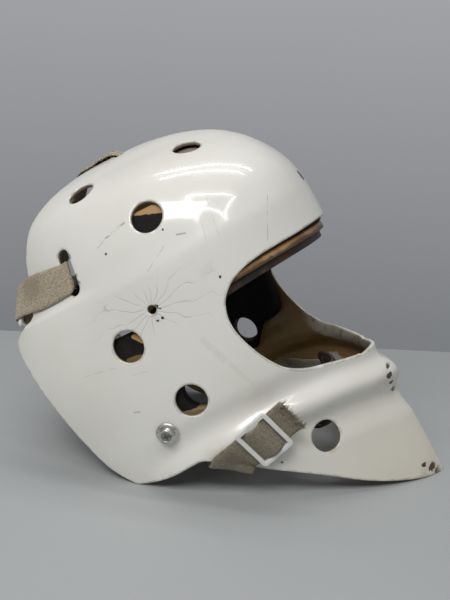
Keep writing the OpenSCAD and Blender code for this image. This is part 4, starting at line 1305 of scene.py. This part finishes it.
def paint():
    look = Look("shell_paint")
    place = side_view(look)
    parts = look.split(place)
    near = near_side(look)
    base = look.blend(look.ramp(look.noise(9, 3, 0.6), 0.4, 0.75), (0.80, 0.785, 0.735),
                      (0.755, 0.735, 0.665))
    chin = look.times(look.ramp(parts[1], 25, -70), look.ramp(parts[0], 70, 140))
    base = look.blend(look.times(chin, 0.75), base, (0.70, 0.655, 0.55))
    ragged = look.times(look.minus(look.noise(420, 4, 0.65), 0.5), 3.2)
    blotch = look.ramp(look.noise(110, 4, 0.65), 0.35, 0.65)
    for spot, radius, tint, strength in STAINS:
        distance = look.vector("LENGTH", look.vector("SUBTRACT", place, (*spot, 0.0)))
        ring = look.times(look.ramp(distance, 0.3 * radius, radius, strength, 0.0), blotch)
        base = look.blend(look.times(ring, near), base, tint)
    broken = look.ramp(look.noise(230, 3, 0.6), 0.36, 0.56)
    for start, end, width, strength in SCUFFS:
        distance = look.plus(segment_distance(look, place, start, end),
                             look.times(ragged, 0.35 * width))
        mark = look.times(look.ramp(distance, 0.3 * width, 1.2 * width, strength, 0.0), broken)
        base = look.blend(look.times(mark, near), base, (0.19, 0.185, 0.17))
    crazing = look.times(cracks(look, place), near)
    base = look.blend(look.times(crazing, 0.3), base, (0.25, 0.23, 0.20))
    chip = None
    for spot, radius in CHIPS:
        distance = look.vector("LENGTH", look.vector("SUBTRACT", place, (*spot, 0.0)))
        hole = look.ramp(look.plus(distance, ragged), radius, radius + 0.25, 1.0, 0.0)
        chip = hole if chip is None else look.calc("MAXIMUM", chip, hole)
    chip = look.times(chip, near)
    base = look.blend(chip, base, look.blend(look.noise(700, 2), (0.012, 0.008, 0.006), (0.09, 0.045, 0.02)))
    rim = look.plus(look.value("edge_distance"), look.times(ragged, 0.5))
    worn = look.times(look.ramp(rim, 0.3, 1.3, 0.55, 0.0), blotch)
    base = look.blend(worn, base, (0.33, 0.28, 0.21))
    film = look.ramp(look.noise(14, 5, 0.7), 0.42, 0.62)
    scratches = look.noise(300, 4, 0.7)
    roughness = look.plus(look.ramp(film, 0, 1, 0.16, 0.26), look.times(chip, 0.5))
    look.set(base_color=base, roughness=roughness, coat_weight=0.5, coat_roughness=0.05)
    dents = look.plus(look.times(chip, -1.0), look.times(crazing, -0.25))
    soft_waves = look.bump(look.noise(22, 2, 0.5), 1.2, 0.12)
    fine = look.bump(scratches, 0.02, 0.25, soft_waves)
    look.bump(dents, 0.5, 0.8, fine)
    return look.material


def composite():
    """Bare resin and glass inside, with the painted lip round the lower part of the face opening."""
    look = Look("composite")
    t, n, _ = look.split(side_view(look))
    cloudy = look.noise(30, 5, 0.6)
    base = look.blend(cloudy, (0.17, 0.095, 0.028), (0.36, 0.225, 0.075))
    red = look.times(look.ramp(t, 112, 140), look.ramp(look.noise(60, 4, 0.6), 0.3, 0.7, 0.3, 0.9))
    base = look.blend(red, base, (0.30, 0.14, 0.065))
    streaks = look.noise(180, 3, 0.6, vector=look.vector("MULTIPLY", look.place, (0.25, 1.0, 1.0)))
    base = look.blend(look.ramp(streaks, 0.62, 0.72, 0.0, 0.5), base, (0.07, 0.035, 0.015))
    edge = look.value("edge_distance")
    wobble = look.times(look.minus(look.noise(75, 4, 0.6), 0.5), 9.0)
    lip = look.ramp(look.plus(edge, wobble), 8.5, 11.5, 1.0, 0.0)
    lip = look.times(lip, look.times(look.ramp(t, 100, 116), look.ramp(n, 62, 48)))
    dirty = look.blend(look.ramp(look.noise(120, 5, 0.7), 0.45, 0.72), (0.56, 0.52, 0.44), (0.22, 0.13, 0.07))
    base = look.blend(lip, base, dirty)
    chips = look.ramp(look.noise(170, 2, 0.5), 0.68, 0.71)
    base = look.blend(look.times(chips, lip), base, (0.03, 0.02, 0.012))
    look.set(base_color=base, roughness=look.ramp(cloudy, 0.3, 0.7, 0.3, 0.5))
    weave = look.add("ShaderNodeTexVoronoi", {"Vector": look.place, "Scale": 420.0}).outputs["Distance"]
    look.bump(look.plus(weave, streaks), 0.25, 0.6)
    return look.material


def laminate():
    """Cut edges of the shell, tan where the face opening turns down to the jaw."""
    look = Look("laminate")
    t, n, _ = look.split(side_view(look))
    layers = look.ramp(look.value("through_wall"), 0.25, 0.5)
    base = look.blend(layers, (0.50, 0.47, 0.41), (0.30, 0.25, 0.18))
    base = look.blend(look.ramp(look.noise(160, 4, 0.6), 0.4, 0.7, 0.0, 0.6), base, (0.20, 0.14, 0.085))
    spot = look.times(look.ramp(t, 90, 94), look.ramp(t, 108, 104))
    tan = look.times(spot, look.times(look.ramp(n, 50, 56), look.ramp(n, 86, 80)))
    base = look.blend(tan, base, (0.62, 0.43, 0.22))
    cream = look.times(look.ramp(t, 112, 122), look.ramp(n, 46, 40))
    base = look.blend(look.times(cream, look.ramp(n, -20, 10)), base, (0.66, 0.60, 0.48))
    look.set(base_color=base, roughness=0.5)
    look.bump(look.noise(500, 3), 0.1, 0.6)
    return look.material


def foam(name="black_foam", lining_and_glints=(), crown=False):
    """Closed-cell foam. The lining list gives tan and brown patches and painted glints, each as a stroke,
    half-width and tint.
    """
    look = Look(name)
    pores = look.noise(900, 2, 0.6)
    dark, light = ((0.24, 0.20, 0.145), (0.38, 0.32, 0.24)) if crown else ((0.006, 0.005, 0.005),
                                                                        (0.016, 0.012, 0.010))
    base = look.blend(look.ramp(look.noise(45, 4, 0.65), 0.35, 0.75), dark, light)
    place = side_view(look)
    wobble = look.times(look.minus(look.noise(260, 3), 0.5), 2.0)
    # Patches of lining colour, and painted glints where light catches the pad behind a vent
    for start, end, width, tint in lining_and_glints:
        distance = look.plus(segment_distance(look, place, start, end), wobble)
        patch = look.times(look.ramp(distance, width, width + 0.6, 1.0, 0.0), near_side(look))
        base = look.blend(patch, base, tint)
    look.set(base_color=base, roughness=look.ramp(pores, 0.3, 0.7, 0.72, 0.92), specular_ior_level=0.25)
    look.bump(pores, 0.35, 0.6)
    return look.material


def tan_leather():
    look = Look("tan_leather")
    grain = look.noise(700, 4, 0.6)
    stains = look.noise(55, 5, 0.65)
    base = look.blend(look.ramp(stains, 0.35, 0.7), (0.36, 0.185, 0.07), (0.60, 0.37, 0.165))
    base = look.blend(look.ramp(look.noise(130, 3), 0.6, 0.75, 0.0, 0.8), base, (0.07, 0.035, 0.018))
    # Near-black wavy band along the lower edge: painted shade of the gap between this band and the liner
    level = look.split(look.add("ShaderNodeTexCoord").outputs["UV"])[1]
    wavy_gap_shade = look.plus(level, look.times(look.minus(look.noise(60, 3), 0.5), 5.0))
    base = look.blend(look.ramp(wavy_gap_shade, 1.5, 3.5, 0.85, 0.0), base, (0.045, 0.022, 0.012))
    look.set(base_color=base, roughness=look.ramp(stains, 0.3, 0.7, 0.36, 0.55))
    folds = look.bump(look.noise(90, 3, 0.6, distortion=1.0), 1.6, 0.7)
    look.bump(grain, 0.25, 0.8, folds)
    return look.material


def brown_leather(stitched=False):
    look = Look("brown_leather_stitched" if stitched else "brown_leather")
    grain = look.noise(800, 4, 0.6)
    stains = look.noise(60, 4, 0.6)
    base = look.blend(look.ramp(stains, 0.42, 0.75), (0.016, 0.009, 0.006), (0.085, 0.042, 0.020))
    height = grain
    if stitched:
        gap = look.value("edge_distance")
        seam = look.ramp(look.calc("ABSOLUTE", look.minus(gap, 4.5)), 0.3, 0.8, 1.0, 0.0)
        thread = look.times(seam, look.ramp(look.noise(420, 0), 0.45, 0.5))
        base = look.blend(thread, base, (0.34, 0.26, 0.17))
        height = look.plus(grain, look.times(seam, -1.5))
    look.set(base_color=base, roughness=look.ramp(stains, 0.3, 0.7, 0.38, 0.6))
    look.bump(height, 0.3, 0.8)
    return look.material


def webbing(name, worn=False):
    """Cotton webbing: ribs along it, picks across it, marled yarns and ground-in dirt."""
    look = Look(name)
    uv = look.add("ShaderNodeTexCoord").outputs["UV"]
    parts = look.split(uv)
    across, along = parts[0], parts[1]
    wobble = look.times(look.noise(0.35, 2, vector=uv), 2.2)
    rib_pitch, pick_pitch = (1.25, 1.1) if worn else (1.7, 1.5)
    ribs = look.calc("SINE", look.times(look.plus(across, wobble), 2 * math.pi / rib_pitch))
    shift = look.times(look.calc("FLOOR", look.calc("DIVIDE", across, rib_pitch)), math.pi)
    picks = look.calc("SINE", look.plus(look.times(look.plus(along, wobble),
                                                         2 * math.pi / pick_pitch), shift))
    weave = look.plus(look.times(ribs, 0.5), look.times(picks, 0.5))
    worms = look.noise(0.9 if not worn else 1.3, 3, 0.55, vector=uv, distortion=1.6)
    height = look.plus(look.times(weave, 0.35 if worn else 0.15),
                       look.times(worms, 1.2 if worn else 2.6))
    light, dark = ((0.38, 0.335, 0.235), (0.13, 0.105, 0.07)) if worn else ((0.68, 0.58, 0.41),
                                                                            (0.26, 0.20, 0.125))
    shade = look.plus(look.ramp(worms, 0.36, 0.62), look.times(weave, 0.18))
    base = look.blend(look.times(shade, 1.0, clamp=True), dark, light)
    dirt = look.ramp(look.noise(35, 4, 0.6), 0.5, 0.75, 0.0, 0.55)
    base = look.blend(dirt, base, (0.13, 0.09, 0.055) if worn else (0.30, 0.23, 0.15))
    look.set(base_color=base, roughness=0.93, sheen_weight=0.25, sheen_roughness=0.5)
    look.bump(height, 0.55, 1.0)
    return look.material


def white_plastic():
    look = Look("white_plastic")
    grime = look.ramp(look.noise(120, 5, 0.65), 0.5, 0.8, 0.0, 0.5)
    base = look.blend(grime, (0.74, 0.74, 0.71), (0.5, 0.47, 0.39))
    scuffs = look.noise(500, 3, 0.6)
    look.set(base_color=base, roughness=look.ramp(scuffs, 0.35, 0.7, 0.34, 0.5))
    look.bump(scuffs, 0.04, 0.7)
    return look.material


def steel(name, dull=False):
    look = Look(name)
    spots = look.noise(260, 4, 0.65)
    bright, dim = ((0.30, 0.29, 0.28), (0.10, 0.085, 0.07)) if dull else ((0.62, 0.61, 0.59),
                                                                          (0.30, 0.26, 0.22))
    look.set(base_color=look.blend(look.ramp(spots, 0.45, 0.75), bright, dim), metallic=0.95,
             roughness=look.ramp(spots, 0.35, 0.7, 0.26, 0.5))
    look.bump(look.noise(900, 3), 0.05, 0.6)
    return look.material


# Stage

CAMERA_AZIMUTH = math.radians(12.02)
CAMERA_ELEVATION = math.radians(12.79)
CAMERA_ROLL = math.radians(2.8)
CAMERA_DISTANCE = 0.55
CAMERA_TARGET = Vector((-0.0174, 0, 0.116))


def add_camera():
    data = bpy.data.cameras.new("camera")
    data.lens = 42
    data.sensor_width = 36
    camera = add_object("camera", data)
    look = Matrix.Rotation(CAMERA_AZIMUTH, 4, "Z") @ Matrix.Rotation(math.pi / 2 - CAMERA_ELEVATION, 4, "X")
    look = look @ Matrix.Rotation(CAMERA_ROLL, 4, "Z")
    back = look.to_3x3() @ Vector((0, 0, CAMERA_DISTANCE))
    camera.matrix_world = Matrix.Translation(CAMERA_TARGET + back) @ look
    bpy.context.scene.camera = camera


def add_plane(name, corners, material):
    mesh = bpy.data.meshes.new(name)
    mesh.from_pydata(corners, [], [range(len(corners))])
    plane = add_object(name, mesh)
    dress(plane, material)


def plain(name, base, roughness, grain_scale=0, grain=0):
    look = Look(name)
    shade = look.blend(look.noise(3, 2), tuple(0.96 * c for c in base), tuple(1.04 * c for c in base))
    look.set(base_color=shade, roughness=roughness)
    if grain:
        look.bump(look.noise(grain_scale, 3, 0.55), grain)
    return look.material


TABLE_BACK = 0.288
# Backdrop, a far room colour from low to high as painted light and shade of a far wall, and the light that
# the room sheds on the object
ROOM_LOW = (0.20, 0.208, 0.222, 1)
ROOM_HIGH = (0.36, 0.367, 0.382, 1)
ROOM_LIGHT = (0.93, 0.96, 1.0, 1)
ROOM_STRENGTH = 0.14


def add_stage():
    across = Vector((math.cos(CAMERA_AZIMUTH), math.sin(CAMERA_AZIMUTH), 0))
    away = Vector((-math.sin(CAMERA_AZIMUTH), math.cos(CAMERA_AZIMUTH), 0))
    table = [across * x + away * y for x, y in ((-3, -3), (3, -3), (3, TABLE_BACK), (-3, TABLE_BACK))]
    add_plane("table", table, plain("table_top", (0.40, 0.415, 0.42), 0.55, 900, 0.05))


def add_light(name, place, target, size, power, tint=(1, 1, 1)):
    data = bpy.data.lights.new(name, "AREA")
    data.shape = "RECTANGLE"
    data.size, data.size_y = size
    data.energy = power
    data.color = tint
    lamp = add_object(name, data)
    lamp.location = place
    lamp.rotation_euler = (Vector(target) - Vector(place)).to_track_quat("-Z", "Y").to_euler()


# Tubes under the ceiling and the bright frame of a panel, each as a place, a size and a power
TUBES = [((-0.15, 0.04, 1.6), (1.2, 0.045), 3.5), ((-0.15, 0.30, 1.6), (1.4, 0.045), 3)]
PANEL = [((0.25, -1.52, 1.6), (1.1, 0.06), 5), ((0.25, -0.86, 1.6), (1.0, 0.05), 4),
         ((-0.25, -1.2, 1.6), (0.06, 0.66), 3), ((0.85, -1.2, 1.6), (0.05, 0.66), 2)]


def add_room():
    """World whose light is plain, and that shows the backdrop's colour to eye and mirror."""
    world = bpy.data.worlds.new("room")
    world.use_nodes = True
    nodes, links = world.node_tree.nodes, world.node_tree.links
    light, backdrop = nodes["Background"], nodes.new("ShaderNodeBackground")
    light.inputs["Color"].default_value = ROOM_LIGHT
    light.inputs["Strength"].default_value = ROOM_STRENGTH
    # Backdrop colour runs from dark low to light high: painted light and shade of a far wall
    parts = nodes.new("ShaderNodeSeparateXYZ")
    height = nodes.new("ShaderNodeMapRange")
    height.inputs["From Min"].default_value = -0.25
    height.inputs["From Max"].default_value = 0.2
    tint = nodes.new("ShaderNodeMix")
    tint.data_type = "RGBA"
    tint.inputs[6].default_value, tint.inputs[7].default_value = ROOM_LOW, ROOM_HIGH
    links.new(nodes.new("ShaderNodeTexCoord").outputs["Generated"], parts.inputs[0])
    links.new(parts.outputs["Z"], height.inputs["Value"])
    links.new(height.outputs["Result"], tint.inputs["Factor"])
    links.new(tint.outputs[2], backdrop.inputs["Color"])
    rays = nodes.new("ShaderNodeLightPath")
    seen = rays.outputs["Is Camera Ray"]
    for kind in ("Is Glossy Ray", "Is Transmission Ray"):
        either = nodes.new("ShaderNodeMath")
        either.operation = "MAXIMUM"
        links.new(seen, either.inputs[0])
        links.new(rays.outputs[kind], either.inputs[1])
        seen = either.outputs[0]
    both = nodes.new("ShaderNodeMixShader")
    links.new(seen, both.inputs[0])
    links.new(light.outputs[0], both.inputs[1])
    links.new(backdrop.outputs[0], both.inputs[2])
    links.new(both.outputs[0], nodes["World Output"].inputs["Surface"])
    bpy.context.scene.world = world


def add_lights():
    for k, (place, size, power) in enumerate(TUBES + PANEL):
        add_light(f"lamp_{k}", place, (place[0], place[1], 0), size, power)
    add_light("ceiling", (-0.3, -1.25, 1.4), (-0.05, -0.1, 0.1), (1.1, 0.5), 13, (1.0, 0.99, 0.965))


bpy.context.scene.view_settings.view_transform = "Standard"
add_camera()
add_stage()
add_room()
add_lights()
make_shell()
make_pads()
make_cup_and_back()
make_harness()
make_studs()
